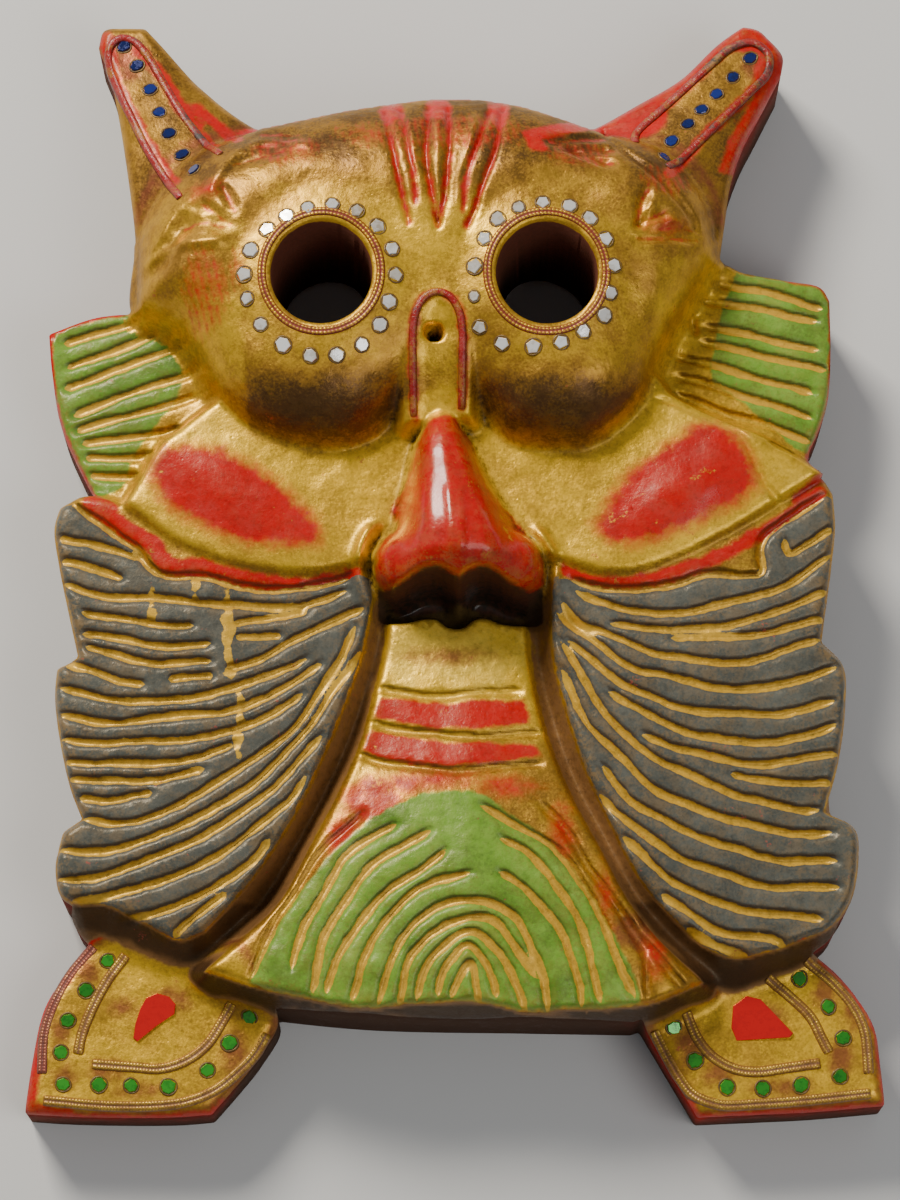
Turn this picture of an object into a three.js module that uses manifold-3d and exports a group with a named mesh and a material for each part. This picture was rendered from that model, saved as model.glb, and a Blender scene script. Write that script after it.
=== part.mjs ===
// Owl mask: one carved block of wood with ears, side tufts, wings, beard and feet, lying on its back.
// Millimetres. X runs to the viewer's right, Y towards the ears, Z out of the face.
// The origin is under the middle of the mask, on the plane of its flat back.
import * as THREE from 'three';
import { mergeVertices } from 'three/addons/utils/BufferGeometryUtils.js';
import Module from 'manifold-3d';

const wasm = await Module();
wasm.setup();

// Driving dimensions
const BACK = 0;                 // plane of the flat back
const BROW = 61;                // middle of the forehead above the back
const LOBE_EDGE = 35;           // height at which the head rounds over to its outline
const CHEEK = 39;               // cheek plate under the lobes
const WING = 36;                // middle of a wing
const WING_EDGE = 32;           // front edge round a wing
const TUFT = 28;                // side tufts behind the wings
const EAR_ROOT = 46;            // front of an ear where it grows out of the head
const EAR_TIP = 31;
const NOSE_TIP = 63;
const NOSE_ROOT = 46;
const BEARD_TOP = 31;           // sunken panel under the nose
const BEARD_FRONT = 43;         // lower edge of the beard
const FOOT = 23;                // front of the feet
const CHANNEL = 24;             // floor of the hollows beside the beard
const CHANNEL_FALL = 5;         // how much lower that floor lies at the feet
const HEAD_ROUND = 26;          // radius of the rounded head, measured inwards from its outline
const EAR_SLOPE = [165, 92];    // an ear rises from its tip to its root between these
const BEARD_SLOPE = [-22, -90]; // the beard comes forward between these
const TAB_SLOPE = [60, 34];     // the beak tab falls towards the nose between these
const TAB_FALL = 8;
const EYE_SPACING = 64;
const EYE_HEIGHT = 75.5;        // eye centres above the middle of the mask
const EYE_MIDDLE = -6;          // the line between the eyes
const EYE_HOLE = [14.6, 15.4];  // half width and half height of an eye hole at the front
const EYE_SIDES = 16;
const EYE_TAPER = 0.86;         // size of the hole at the back against the front
const EYE_FLARE = 1.12;         // and its size just above the front
const HOLLOW_DEPTH = 13;        // dish carved in the back
const HOLLOW_MIDDLE = 44;       // its middle above the middle of the mask
const NAIL_HOLE = 2.2;          // radius of the hole in the beak tab
const NAIL_HEIGHT = 59;         // its middle above the middle of the mask
const NAIL_SIDES = 8;
const NOSTRIL_RADIUS = 6.5;
const NOSTRIL_STRETCH = [1, 0.75, 1.5];
const NOSTRIL_PLACE = [11, -14.5, 45];  // from the middle of the nose
const NOSE_MIDDLE = 1;
const CUTTER_REACH = 5;         // how far a cutter stands out of the wood
const GOUGE_WIDTH = 2.8;
const GOUGE_DEPTH = 1.7;
const LONG_STEP = 32;           // length of one straight stretch of a gouge on the flat plates
const SHORT_STEP = 15;          // the same on the beard and the round head
const ARCHES = 7;               // arched gouges of the beard
const ARCH_FOOT = [4, -130.5];  // middle of the arches, on the lower edge
const ARCH_FIRST = [8, 16];     // half width and rise of the smallest arch
const ARCH_STEP = [6.6, 7];     // what each arch adds to them
const GAP = 0.3;                // clearance round every piece that is set on the wood
const STRIP_SIZE = [2.4, 1.4];  // width and height of the moulded strips
const STRIP_STEP = 14;
const STRIP_PROBES = 8;         // places where a straight run of a strip is set against the wood
const RING_SIZE = [1.8, 1.1];   // the rings round the eye holes
const RING_OFFSET = 1.9;        // middle of a ring outside the edge of the hole
const RING_SIDES = 16;
const TILE_OFFSET = 6;          // middle of the mirrors outside the edge of the hole
const LEFT_TILES = [18, 0.1];   // how many, and the turn of the first, in radians
const RIGHT_TILES = [17, 0.25];
const MIRROR_RADIUS = 1.7;
const MIRROR_SIDES = 6;
const MIRROR_HEIGHT = 0.9;

// Finishes
const WOOD = { color: 0xa8843c, roughness: 0.45, metalness: 0.35 };
const STRIP = { color: 0x7d5238, roughness: 0.5, metalness: 0.1 };
const CLEAR_MIRROR = { color: 0xd8dcda, roughness: 0.08, metalness: 1 };
const BLUE_MIRROR = { color: 0x1a2f86, roughness: 0.1, metalness: 0.8 };
const GREEN_MIRROR = { color: 0x2f9a3a, roughness: 0.1, metalness: 0.8 };
const RED_MIRROR = { color: 0xc8281c, roughness: 0.12, metalness: 0.7 };

const mask = new THREE.Group();

function addPiece(name, geometry, finish) {
  const piece = new THREE.Mesh(geometry, new THREE.MeshStandardMaterial(finish));
  piece.name = name;
  mask.add(piece);
}

// Closed solids and the joins and cuts between them

function toSolid(geometry) {
  const bare = geometry.clone();
  bare.deleteAttribute('normal');
  bare.deleteAttribute('uv');
  const merged = mergeVertices(bare, 1e-4);
  return new wasm.Manifold(new wasm.Mesh({
    numProp: 3,
    vertProperties: new Float32Array(merged.attributes.position.array),
    triVerts: new Uint32Array(merged.index.array),
  }));
}

function toGeometry(solid) {
  const mesh = solid.getMesh();
  const geometry = new THREE.BufferGeometry();
  geometry.setAttribute('position', new THREE.BufferAttribute(mesh.vertProperties, 3));
  geometry.setIndex(new THREE.BufferAttribute(mesh.triVerts, 1));
  return geometry;
}

function meshOf(points, faces) {
  const geometry = new THREE.BufferGeometry();
  geometry.setAttribute('position', new THREE.Float32BufferAttribute(points.flat(), 3));
  geometry.setIndex(faces.flat());
  return geometry;
}

const middleOf = (ring) => [0, 1, 2].map((axis) => (
  ring.reduce((sum, point) => sum + point[axis], 0) / ring.length
));

// A stack of rings with the same number of points, closed by a fan at each end
function loft(rings, lowEnd, highEnd) {
  const count = rings[0].length;
  const points = [lowEnd, ...rings.flat(), highEnd];
  const high = points.length - 1;
  const faces = [];
  const at = (ring, k) => 1 + ring * count + (k % count);
  for (let k = 0; k < count; k += 1) {
    faces.push([0, at(0, k + 1), at(0, k)]);
    faces.push([at(rings.length - 1, k), at(rings.length - 1, k + 1), high]);
    for (let ring = 0; ring < rings.length - 1; ring += 1) {
      faces.push([at(ring, k), at(ring, k + 1), at(ring + 1, k + 1)]);
      faces.push([at(ring, k), at(ring + 1, k + 1), at(ring + 1, k)]);
    }
  }
  return toSolid(meshOf(points, faces));
}

// A closed outline through its corners; each run between two corners is one smooth curve
function outline(runs, step) {
  const points = [];
  runs.forEach((run) => {
    const ends = run.map(([x, y]) => new THREE.Vector3(x, y, 0));
    const curve = new THREE.CatmullRomCurve3(ends, false, 'centripetal');
    const pieces = run.length === 2 ? 1 : Math.max(2, Math.round(curve.getLength() / step));
    curve.getSpacedPoints(pieces).slice(0, -1).forEach((p) => points.push([p.x, p.y]));
  });
  return THREE.ShapeUtils.area(points.map(([x, y]) => ({ x, y }))) < 0 ? points.reverse() : points;
}

// A carved mound: a flat back, an upright wall, and a front that rises in steps from its outline.
// Each step is [distance in from the outline, height]; lean adds a slope of its own.
function mound(edge, [cx, cy], crown, steps, lean = () => 0) {
  const inset = ([x, y], distance) => {
    const reach = Math.hypot(cx - x, cy - y);
    const share = Math.min(distance / reach, 0.9);
    return [x + (cx - x) * share, y + (cy - y) * share];
  };
  const rings = [edge.map(([x, y]) => [x, y, BACK])];
  steps.forEach(([distance, height]) => {
    rings.push(edge.map((point) => {
      const [x, y] = inset(point, distance);
      return [x, y, height + lean(x, y)];
    }));
  });
  return loft(rings, [cx, cy, BACK], [cx, cy, crown + lean(cx, cy)]);
}

// Steps of a quarter-round edge from a height at the outline up to the full height
function roundOver(low, high, radius, count) {
  return Array.from({ length: count + 1 }, (_, k) => {
    const turn = (k / count) * (Math.PI / 2);
    return [radius * (1 - Math.cos(turn)), low + (high - low) * Math.sin(turn)];
  });
}

const slope = (fromY, toY, rise) => (x, y) => (
  rise * THREE.MathUtils.clamp((y - fromY) / (toY - fromY), 0, 1)
);

// The forms of the front, each from its own outline

function head() {
  const edge = outline([
    [[42, 125], [18, 133], [-3, 135], [-28, 132], [-57, 126]],
    [[-57, 126], [-78, 116], [-91, 95], [-92, 70]],
    [[-92, 70], [-79, 61], [-68, 43], [-50, 31], [-36, 28], [-24, 32], [-13, 40], [-4, 44]],
    [[-4, 44], [5, 41], [14, 31], [27, 28], [43, 32], [54, 42], [60, 57], [75, 86]],
    [[75, 86], [73, 104], [62, 118], [42, 125]],
  ], 12);
  const steps = roundOver(LOBE_EDGE, BROW - 3, HEAD_ROUND, 3);
  return mound(edge, [EYE_MIDDLE, 84], BROW, steps);
}

function ear(edge, centre) {
  const lean = slope(...EAR_SLOPE, EAR_ROOT - EAR_TIP);
  return mound(edge, centre, EAR_TIP + 4, [[0, EAR_TIP - 11], [5, EAR_TIP + 1], [9, EAR_TIP + 3]], lean);
}

function leftEar() {
  const edge = outline([
    [[-91, 158], [-74, 140], [-57, 127], [-30, 118]],
    [[-30, 118], [-50, 70]],
    [[-50, 70], [-92, 72], [-96, 114], [-104, 154]],
    [[-104, 154], [-103, 158], [-91, 158]],
  ], 14);
  return ear(edge, [-80, 118]);
}

function rightEar() {
  const edge = outline([
    [[20, 118], [42, 128], [66, 143], [85, 160]],
    [[85, 160], [89, 159], [96, 148]],
    [[96, 148], [87, 127], [79, 103], [76, 84]],
    [[76, 84], [40, 75]],
    [[40, 75], [20, 118]],
  ], 14);
  return ear(edge, [70, 120]);
}

function cheeks() {
  const edge = outline([
    [[-60, 50], [-76, 38], [-88, 26], [-94, 13]],
    [[-94, 13], [-78, 1], [-62, -5], [-43, -7], [-24, -4], [0, -2], [24, -4], [41, -7], [58, -5], [80, 6], [105, 22]],
    [[105, 22], [92, 30], [76, 40], [60, 55]],
    [[60, 55], [0, 70], [-60, 50]],
  ], 16);
  return mound(edge, [0, 22], CHEEK + 2, [[0, CHEEK - 2.5], [2.5, CHEEK]]);
}

function tuft(runs, centre) {
  return mound(outline(runs, 16), centre, TUFT + 2, [[0, TUFT - 4], [2.5, TUFT]]);
}

function tufts() {
  const left = tuft([
    [[-60, 70], [-104, 71], [-117, 66]],
    [[-117, 66], [-116, 48], [-109, 28], [-102, 14]],
    [[-102, 14], [-80, 10], [-60, 20], [-60, 70]],
  ], [-84, 44]);
  const right = tuft([
    [[60, 20], [90, 10], [105, 22], [102, 30], [108, 52], [108, 76], [104, 80], [77, 87]],
    [[77, 87], [55, 70], [60, 20]],
  ], [83, 54]);
  return left.add(right);
}

// A wing hangs from the cheeks; its outer edge steps in twice where one tier of feathers meets the next
const wing = (edge, centre) => mound(edge, centre, WING + 4, [[0, WING_EDGE], [3, WING]]);

function leftWing() {
  const edge = outline([
    [[-25, -4], [-62, -3], [-94, 14], [-106, 16], [-114, 10]],
    [[-114, 10], [-112, -8], [-107, -31]],
    [[-107, -31], [-113, -34]],
    [[-113, -34], [-112, -52], [-105, -77]],
    [[-105, -77], [-111, -82]],
    [[-111, -82], [-112, -95], [-108, -101], [-96, -103], [-77, -112], [-69, -109], [-55, -94], [-50, -86]],
    [[-50, -86], [-42, -70], [-30, -42], [-23, -13]],
    [[-23, -13], [-25, -4]],
  ], 20);
  return wing(edge, [-72, -40]);
}

function rightWing() {
  const edge = outline([
    [[108, 17], [100, 20], [64, -2], [28, -4]],
    [[28, -4], [27, -26], [31, -46], [41, -73], [54, -98], [74, -116], [91, -114], [105, -108], [112, -97]],
    [[112, -97], [113, -84], [104, -75]],
    [[104, -75], [110, -51], [110, -35], [104, -26]],
    [[104, -26], [108, -5], [108, 17]],
  ], 20);
  return wing(edge, [72, -40]);
}

// The beard widens from the panel under the nose to the broad lower edge of the mask
function beard() {
  const edge = outline([
    [[-19, -8], [-22, -39], [-30, -63], [-46, -98], [-70, -121]],
    [[-70, -121], [-43, -130], [0, -132], [26, -133], [69, -124]],
    [[69, -124], [45, -95], [30, -63], [23, -33], [20, -8]],
    [[20, -8], [-19, -8]],
  ], 18);
  const lean = slope(...BEARD_SLOPE, BEARD_FRONT - BEARD_TOP);
  return mound(edge, [0, -92], BEARD_TOP + 3, [[0, BEARD_TOP - 6], [3, BEARD_TOP - 1], [12, BEARD_TOP + 1]], lean);
}

// Web of wood that joins the wings, the beard and the feet behind the hollows beside the beard
function backing() {
  const edge = outline([
    [[-98, 20], [-104, -90], [-107, -104], [-100, -114], [-60, -128]],
    [[-60, -128], [0, -132], [50, -134]],
    [[50, -134], [97, -116], [107, -108], [104, -90], [98, 20]],
    [[98, 20], [-98, 20]],
  ], 30);
  return mound(edge, [0, -50], CHANNEL, [[0, CHANNEL - 3], [4, CHANNEL]], slope(-84, -112, -CHANNEL_FALL));
}

// Each row of the ridge is [middle x, y, half width, height of the ridge]
function nose() {
  const ridge = [
    [-4, 41, 4, NOSE_ROOT], [-4, 30, 8, NOSE_ROOT + 5], [-3, 19, 11, NOSE_ROOT + 11], [-1, 8, 17, NOSE_TIP - 2],
    [0, 0, 21, NOSE_TIP], [1, -7, 23.5, NOSE_TIP - 1], [1, -12, 22, NOSE_TIP - 7], [1, -21, 17, BEARD_TOP - 1],
  ];
  const arch = [
    [1, 0], [0.92, 0.34], [0.5, 0.6], [0.24, 0.95], [0, 1],
    [-0.24, 0.95], [-0.5, 0.6], [-0.92, 0.34], [-1, 0],
  ];
  const floor = BEARD_TOP - 6;
  const sections = ridge.map(([x, y, half, top]) => arch.map(([across, up]) => (
    [x + across * half, y, floor + up * (top - floor)]
  )));
  return loft(sections, [-4, 41, floor + 4], [1, -21, floor + 1]);
}

function beakTab() {
  const arch = outline([
    [[-15, 34], [-15, 58], [-12, 68], [-5, 73], [3, 68], [5, 58], [5, 34]],
    [[5, 34], [-15, 34]],
  ], 6);
  return mound(arch, [-5, 55], BROW - 5, [[0, BROW - 6], [1, BROW - 5]], slope(...TAB_SLOPE, -TAB_FALL));
}

function foot(runs, centre) {
  return mound(outline(runs, 14), centre, FOOT, [[0, FOOT - 1.2], [1.5, FOOT]]);
}

function feet() {
  const left = foot([
    [[-60, -112], [-101, -108], [-112, -122], [-118, -140], [-121, -159]],
    [[-121, -159], [-70, -160]],
    [[-70, -160], [-56, -144], [-49, -133]],
    [[-49, -133], [-60, -112]],
  ], [-84, -134]);
  const right = foot([
    [[51, -132], [78, -124], [98, -112]],
    [[98, -112], [110, -122], [118, -136], [121, -156]],
    [[121, -156], [84, -159], [68, -160]],
    [[68, -160], [60, -145], [51, -132]],
  ], [88, -138]);
  return left.add(right);
}

// Cuts

const eyeX = (side) => EYE_MIDDLE + (side * EYE_SPACING) / 2;

function eyeHole(side) {
  const x = eyeX(side);
  const ring = (size, height) => Array.from({ length: EYE_SIDES }, (_, k) => {
    const turn = (k / EYE_SIDES) * 2 * Math.PI;
    return [
      x + EYE_HOLE[0] * size * Math.cos(turn),
      EYE_HEIGHT + EYE_HOLE[1] * size * Math.sin(turn),
      height,
    ];
  });
  const [low, high] = [BACK - CUTTER_REACH, BROW + CUTTER_REACH];
  const rings = [ring(EYE_TAPER, low), ring(1, BROW - 6), ring(EYE_FLARE, high)];
  return loft(rings, [x, EYE_HEIGHT, low], [x, EYE_HEIGHT, high]);
}

function backHollow() {
  const edge = outline([[[72, 70], [0, 112], [-76, 66], [-50, 0], [0, -24], [50, 0], [72, 70]]], 22);
  const shrink = (share, height) => edge.map(([x, y]) => (
    [x * share, HOLLOW_MIDDLE + (y - HOLLOW_MIDDLE) * share, height]
  ));
  const low = BACK - CUTTER_REACH;
  const rings = [shrink(1.04, low), shrink(1, BACK), shrink(0.9, HOLLOW_DEPTH * 0.7), shrink(0.66, HOLLOW_DEPTH)];
  return loft(rings, [0, HOLLOW_MIDDLE, low], [0, HOLLOW_MIDDLE, HOLLOW_DEPTH]);
}

function nailHole() {
  const ring = (height) => Array.from({ length: NAIL_SIDES }, (_, k) => {
    const turn = ((k + 0.5) / NAIL_SIDES) * 2 * Math.PI;
    return [EYE_MIDDLE + NAIL_HOLE * Math.cos(turn), NAIL_HEIGHT + NAIL_HOLE * Math.sin(turn), height];
  });
  const [low, high] = [BROW - 18, BROW + CUTTER_REACH];
  return loft([ring(low), ring(high)], [EYE_MIDDLE, NAIL_HEIGHT, low], [EYE_MIDDLE, NAIL_HEIGHT, high]);
}

function nostril(side) {
  const cut = new THREE.SphereGeometry(NOSTRIL_RADIUS, 10, 6);
  cut.scale(...NOSTRIL_STRETCH);
  cut.rotateX(-0.5);
  const [aside, up, out] = NOSTRIL_PLACE;
  cut.translate(NOSE_MIDDLE + side * aside, up, out);
  return toSolid(cut);
}

// Height of the carved front over a point of the plan
function frontOf(solid) {
  const probe = new THREE.Mesh(toGeometry(solid), new THREE.MeshBasicMaterial());
  const ray = new THREE.Raycaster();
  const down = new THREE.Vector3(0, 0, -1);
  return (x, y) => {
    ray.set(new THREE.Vector3(x, y, 200), down);
    const hit = ray.intersectObject(probe)[0];
    return hit ? hit.point.z : null;
  };
}

// A V-shaped gouge that follows the front along a curve
function gouge(front, path, step) {
  const curve = new THREE.CatmullRomCurve3(path.map(([x, y]) => new THREE.Vector3(x, y, 0)));
  const count = Math.max(1, Math.round(curve.getLength() / step));
  const rings = [];
  curve.getSpacedPoints(count).forEach((p, k) => {
    const height = front(p.x, p.y);
    if (height === null) return;
    const along = curve.getTangentAt(k / count);
    const across = new THREE.Vector3(-along.y, along.x, 0).multiplyScalar(GOUGE_WIDTH);
    rings.push([
      [p.x, p.y, height - GOUGE_DEPTH],
      [p.x + across.x, p.y + across.y, height + GOUGE_DEPTH],
      [p.x - across.x, p.y - across.y, height + GOUGE_DEPTH],
    ]);
  });
  if (rings.length < 2) return null;
  return loft(rings, middleOf(rings[0]), middleOf(rings[rings.length - 1]));
}

// Gouges spread between key cuts: counts says how many lie between one key and the next
function spread(keys, counts) {
  const paths = [keys[0]];
  counts.forEach((count, k) => {
    for (let n = 1; n <= count + 1; n += 1) {
      const share = n / (count + 1);
      paths.push(keys[k].map(([x, y], i) => {
        const [endX, endY] = keys[k + 1][i];
        return [x + (endX - x) * share, y + (endY - y) * share];
      }));
    }
  });
  return paths;
}

const leftWingCuts = () => spread([
  [[-106, 12], [-88, -4], [-66, -9], [-30, -8]],
  [[-107, -18], [-90, -22], [-66, -22], [-34, -16]],
  [[-110, -41], [-90, -44], [-66, -41], [-38, -26]],
  [[-107, -71], [-88, -72], [-66, -62], [-36, -40]],
  [[-108, -99], [-82, -95], [-60, -84], [-42, -66]],
  [[-79, -111], [-74, -106], [-68, -102], [-64, -99]],
], [2, 2, 2, 2, 0]);

const rightWingCuts = () => spread([
  [[106, 14], [84, -9], [60, -12], [33, -9]],
  [[106, -5], [84, -16], [60, -20], [33, -16]],
  [[106, -33], [84, -40], [60, -38], [30, -20]],
  [[106, -59], [84, -63], [60, -57], [32, -38]],
  [[106, -82], [84, -80], [60, -72], [36, -48]],
  [[105, -106], [84, -104], [62, -96], [46, -82]],
], [1, 2, 2, 1, 2]);

// Nested arches that open downwards over the middle of the beard's lower edge
const beardCuts = () => Array.from({ length: ARCHES }, (_, k) => {
  const half = ARCH_FIRST[0] + k * ARCH_STEP[0];
  const rise = ARCH_FIRST[1] + k * ARCH_STEP[1];
  return [180, 155, 120, 90, 60, 25, 0].map(THREE.MathUtils.degToRad).map((turn) => (
    [ARCH_FOOT[0] + half * Math.cos(turn), ARCH_FOOT[1] + rise * Math.sin(turn)]
  ));
});

const mouthCuts = () => [-41, -52, -62].map((y) => [[-20 + (y + 41) / 4, y + 1], [0, y - 2], [20, y]]);

const leafCuts = () => [[-15, 92], [-5, 90], [5, 92]].flatMap(([x, y]) => (
  [-3, 3].map((half) => [[x + x * 0.35 + half, 126], [x + half, 108], [x, y]])
));

const tuftCuts = () => [
  ...spread([[[-113, 62], [-90, 70]], [[-111, 42], [-72, 56]], [[-106, 24], [-90, 25]]], [2, 1]),
  ...spread([[[105, 74], [77, 81]], [[106, 56], [70, 64]], [[101, 34], [64, 48]]], [2, 1]),
];

const earCuts = () => [
  [[-78, 90], [-66, 89]], [[-72, 96], [-63, 90]], [[-56, 120], [-45, 119]], [[-62, 110], [-49, 114]],
  [[28, 116], [43, 119]], [[33, 112], [46, 109]], [[52, 90], [58, 96]], [[54, 88], [68, 90]],
];

// Pieces set on the wood: moulded strips and cut mirrors

// A strip's section from one foot to the other: [share of the half width, share of the height]
const STRIP_SECTION = [[1, 0], [0.6, 1], [-0.6, 1], [-1, 0]];

// Heights at which a straight run between each two stations just clears the front under it
function clearHeights(front, stations, half, closed) {
  const heights = stations.map(({ p }) => front(p.x, p.y));
  const runs = closed ? stations.length : stations.length - 1;
  for (let k = 0; k < runs; k += 1) {
    const next = (k + 1) % stations.length;
    let excess = 0;
    for (let n = 0; n <= STRIP_PROBES; n += 1) {
      const share = n / STRIP_PROBES;
      const middle = stations[k].p.clone().lerp(stations[next].p, share);
      const across = stations[k].across.clone().lerp(stations[next].across, share).multiplyScalar(half);
      const line = heights[k] + (heights[next] - heights[k]) * share;
      [-1, 0, 1].forEach((side) => {
        const under = front(middle.x + side * across.x, middle.y + side * across.y);
        excess = Math.max(excess, under - line);
      });
    }
    heights[k] += excess;
    heights[next] += excess;
  }
  return heights;
}

function stripSections(front, stations, [width, height], closed) {
  const low = clearHeights(front, stations, width / 2, closed);
  return stations.map(({ p, across }, k) => STRIP_SECTION.map(([side, up]) => [
    p.x + side * across.x * (width / 2),
    p.y + side * across.y * (width / 2),
    low[k] + GAP + up * height,
  ]));
}

function strip(front, path, size = STRIP_SIZE) {
  const curve = new THREE.CatmullRomCurve3(path.map(([x, y]) => new THREE.Vector3(x, y, 0)));
  const count = Math.max(2, Math.round(curve.getLength() / STRIP_STEP));
  const stations = curve.getSpacedPoints(count).map((p, k) => {
    const along = curve.getTangentAt(k / count);
    return { p, across: new THREE.Vector3(-along.y, along.x, 0) };
  });
  const rings = stripSections(front, stations, size, false);
  return toGeometry(loft(rings, middleOf(rings[0]), middleOf(rings[rings.length - 1])));
}

// A strip laid round an eye hole and joined to itself
function eyeRing(front, side) {
  const stations = Array.from({ length: RING_SIDES }, (_, k) => {
    const turn = (k / RING_SIDES) * 2 * Math.PI;
    const across = new THREE.Vector3(-Math.cos(turn), -Math.sin(turn), 0);
    const p = new THREE.Vector3(
      eyeX(side) + (EYE_HOLE[0] + RING_OFFSET) * Math.cos(turn),
      EYE_HEIGHT + (EYE_HOLE[1] + RING_OFFSET) * Math.sin(turn),
      0,
    );
    return { p, across };
  });
  const size = STRIP_SECTION.length;
  const faces = [];
  for (let k = 0; k < RING_SIDES; k += 1) {
    for (let n = 0; n < size; n += 1) {
      const [here, next] = [k * size, ((k + 1) % RING_SIDES) * size];
      const m = (n + 1) % size;
      faces.push([here + n, here + m, next + m], [here + n, next + m, next + n]);
    }
  }
  return meshOf(stripSections(front, stations, RING_SIZE, true).flat(), faces);
}

// Corners of a small mirror about its middle
const mirrorCorners = (radius) => Array.from({ length: MIRROR_SIDES }, (_, k) => {
  const turn = (k / MIRROR_SIDES) * 2 * Math.PI;
  return new THREE.Vector3(radius * Math.cos(turn), radius * Math.sin(turn), 0);
});

// Where a flat tile lies on the front at a point: its turn, and its middle just clear of the wood
function seat(front, [x, y], radius) {
  const rise = (dx, dy) => (front(x + dx, y + dy) - front(x - dx, y - dy)) / 2;
  const normal = new THREE.Vector3(-rise(radius, 0), -rise(0, radius), radius).normalize();
  const turn = new THREE.Quaternion().setFromUnitVectors(new THREE.Vector3(0, 0, 1), normal);
  const corners = mirrorCorners(radius).map((corner) => corner.applyQuaternion(turn));
  const base = front(x, y);
  const lift = Math.max(0, ...corners.map((c) => front(x + c.x, y + c.y) - base - c.z));
  return { turn, at: new THREE.Vector3(x, y, base + lift), normal };
}

// A six-sided tile, its middle at the origin
function cutTile(radius, height) {
  const corners = mirrorCorners(radius).map(({ x, y }) => new THREE.Vector2(x, y));
  const tile = new THREE.ExtrudeGeometry(new THREE.Shape(corners), { depth: height, bevelEnabled: false });
  return tile.translate(0, 0, -height / 2);
}

// The clear mirrors round the eyes are fused to the wood: a ring of low hexagons
function eyeTile(front, point) {
  const { turn, at } = seat(front, point, MIRROR_RADIUS);
  const tile = cutTile(MIRROR_RADIUS, 2 * MIRROR_HEIGHT);
  tile.applyQuaternion(turn);
  tile.translate(at.x, at.y, at.z);
  return toSolid(tile);
}

function eyeTiles(front, side, count, gapTurn) {
  return Array.from({ length: count }, (_, k) => {
    const turn = gapTurn + (k / count) * 2 * Math.PI;
    return eyeTile(front, [
      eyeX(side) + (EYE_HOLE[0] + TILE_OFFSET) * Math.cos(turn),
      EYE_HEIGHT + (EYE_HOLE[1] + TILE_OFFSET) * Math.sin(turn),
    ]);
  });
}

function addMirror(front, name, point, finish) {
  const { turn, at, normal } = seat(front, point, MIRROR_RADIUS);
  addPiece(name, cutTile(MIRROR_RADIUS, MIRROR_HEIGHT), finish);
  const piece = mask.children[mask.children.length - 1];
  piece.quaternion.copy(turn);
  piece.position.copy(at).addScaledVector(normal, GAP + MIRROR_HEIGHT / 2);
}

function addRedMirror(name, corners) {
  const shape = new THREE.Shape(corners.map(([x, y]) => new THREE.Vector2(x, y)));
  const tile = new THREE.ExtrudeGeometry(shape, { depth: MIRROR_HEIGHT, bevelEnabled: false });
  tile.translate(0, 0, FOOT + GAP);
  addPiece(name, tile, RED_MIRROR);
}

const STRIPS = {
  left_ear_strip: [[-68, 114], [-78, 128], [-90, 149], [-98, 155], [-101, 151], [-98, 139], [-92, 123], [-79, 100]],
  right_ear_strip: [[52, 117], [59, 131], [72, 144], [81, 153], [88, 154], [92, 148], [86, 138], [71, 120], [61, 106]],
  beak_tab_strip: [[-11.5, 37], [-12, 59], [-10, 67], [-5, 70], [0, 67], [2, 59], [1.5, 39]],
  left_foot_outer_strip: [[-102, -112], [-112, -125], [-116, -139], [-116, -149]],
  left_foot_inner_strip: [[-93, -115], [-102, -128], [-106, -142]],
  left_foot_hem_strip: [[-102, -145.5], [-83, -147], [-72, -141], [-63, -128]],
  left_foot_edge_strip: [[-116, -156], [-85, -157], [-72, -155], [-61, -147], [-53, -136]],
  right_foot_outer_strip: [[99, -116], [112, -129], [116, -140], [117, -149]],
  right_foot_inner_strip: [[88, -121], [100, -132], [105, -142]],
  right_foot_hem_strip: [[65, -131], [72, -143], [84, -147.5], [103, -145]],
  right_foot_edge_strip: [[56, -136], [62, -148], [70, -156], [84, -156.5], [117, -153.5]],
};

const BLUE_MIRRORS = {
  left_ear: [[-97, 152], [-93.3, 146.5], [-89, 138.8], [-86, 131], [-83, 123.8], [-79, 116.5], [-75, 109]],
  right_ear: [[86, 149], [81, 142.5], [76, 137], [71.5, 132], [67.5, 127], [62.5, 121], [60, 114]],
};

const GREEN_MIRRORS = {
  left_foot: [
    [-98, -116], [-104, -124], [-109, -133], [-111, -142], [-110, -151], [-100, -151.5],
    [-91, -151.5], [-80, -152], [-69, -147], [-63.5, -139.5], [-58, -132],
  ],
  right_foot: [
    [61, -135], [67, -144.5], [76, -152], [86, -152.3], [97, -151.2], [108, -149.5], [109, -138], [105, -129], [97, -121],
  ],
};

const RED_TILES = {
  left_foot: [[-82, -125], [-79, -128], [-79, -131], [-84, -134], [-89, -139], [-91, -137], [-90, -132], [-87, -126]],
  right_foot: [[83, -126], [86, -127], [95, -136], [94, -138], [79, -139], [77, -135], [78, -129]],
};

function addTrim(front) {
  Object.entries(STRIPS).forEach(([name, path]) => addPiece(name, strip(front, path), STRIP));
  addPiece('left_eye_ring', eyeRing(front, -1), STRIP);
  addPiece('right_eye_ring', eyeRing(front, 1), STRIP);
  Object.entries(BLUE_MIRRORS).forEach(([place, points]) => {
    points.forEach((point, k) => addMirror(front, `${place}_mirror_${k + 1}`, point, BLUE_MIRROR));
  });
  Object.entries(GREEN_MIRRORS).forEach(([place, points]) => {
    points.forEach((point, k) => addMirror(front, `${place}_mirror_${k + 1}`, point, GREEN_MIRROR));
  });
  Object.entries(RED_TILES).forEach(([place, corners]) => addRedMirror(`${place}_red_mirror`, corners));
}

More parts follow.
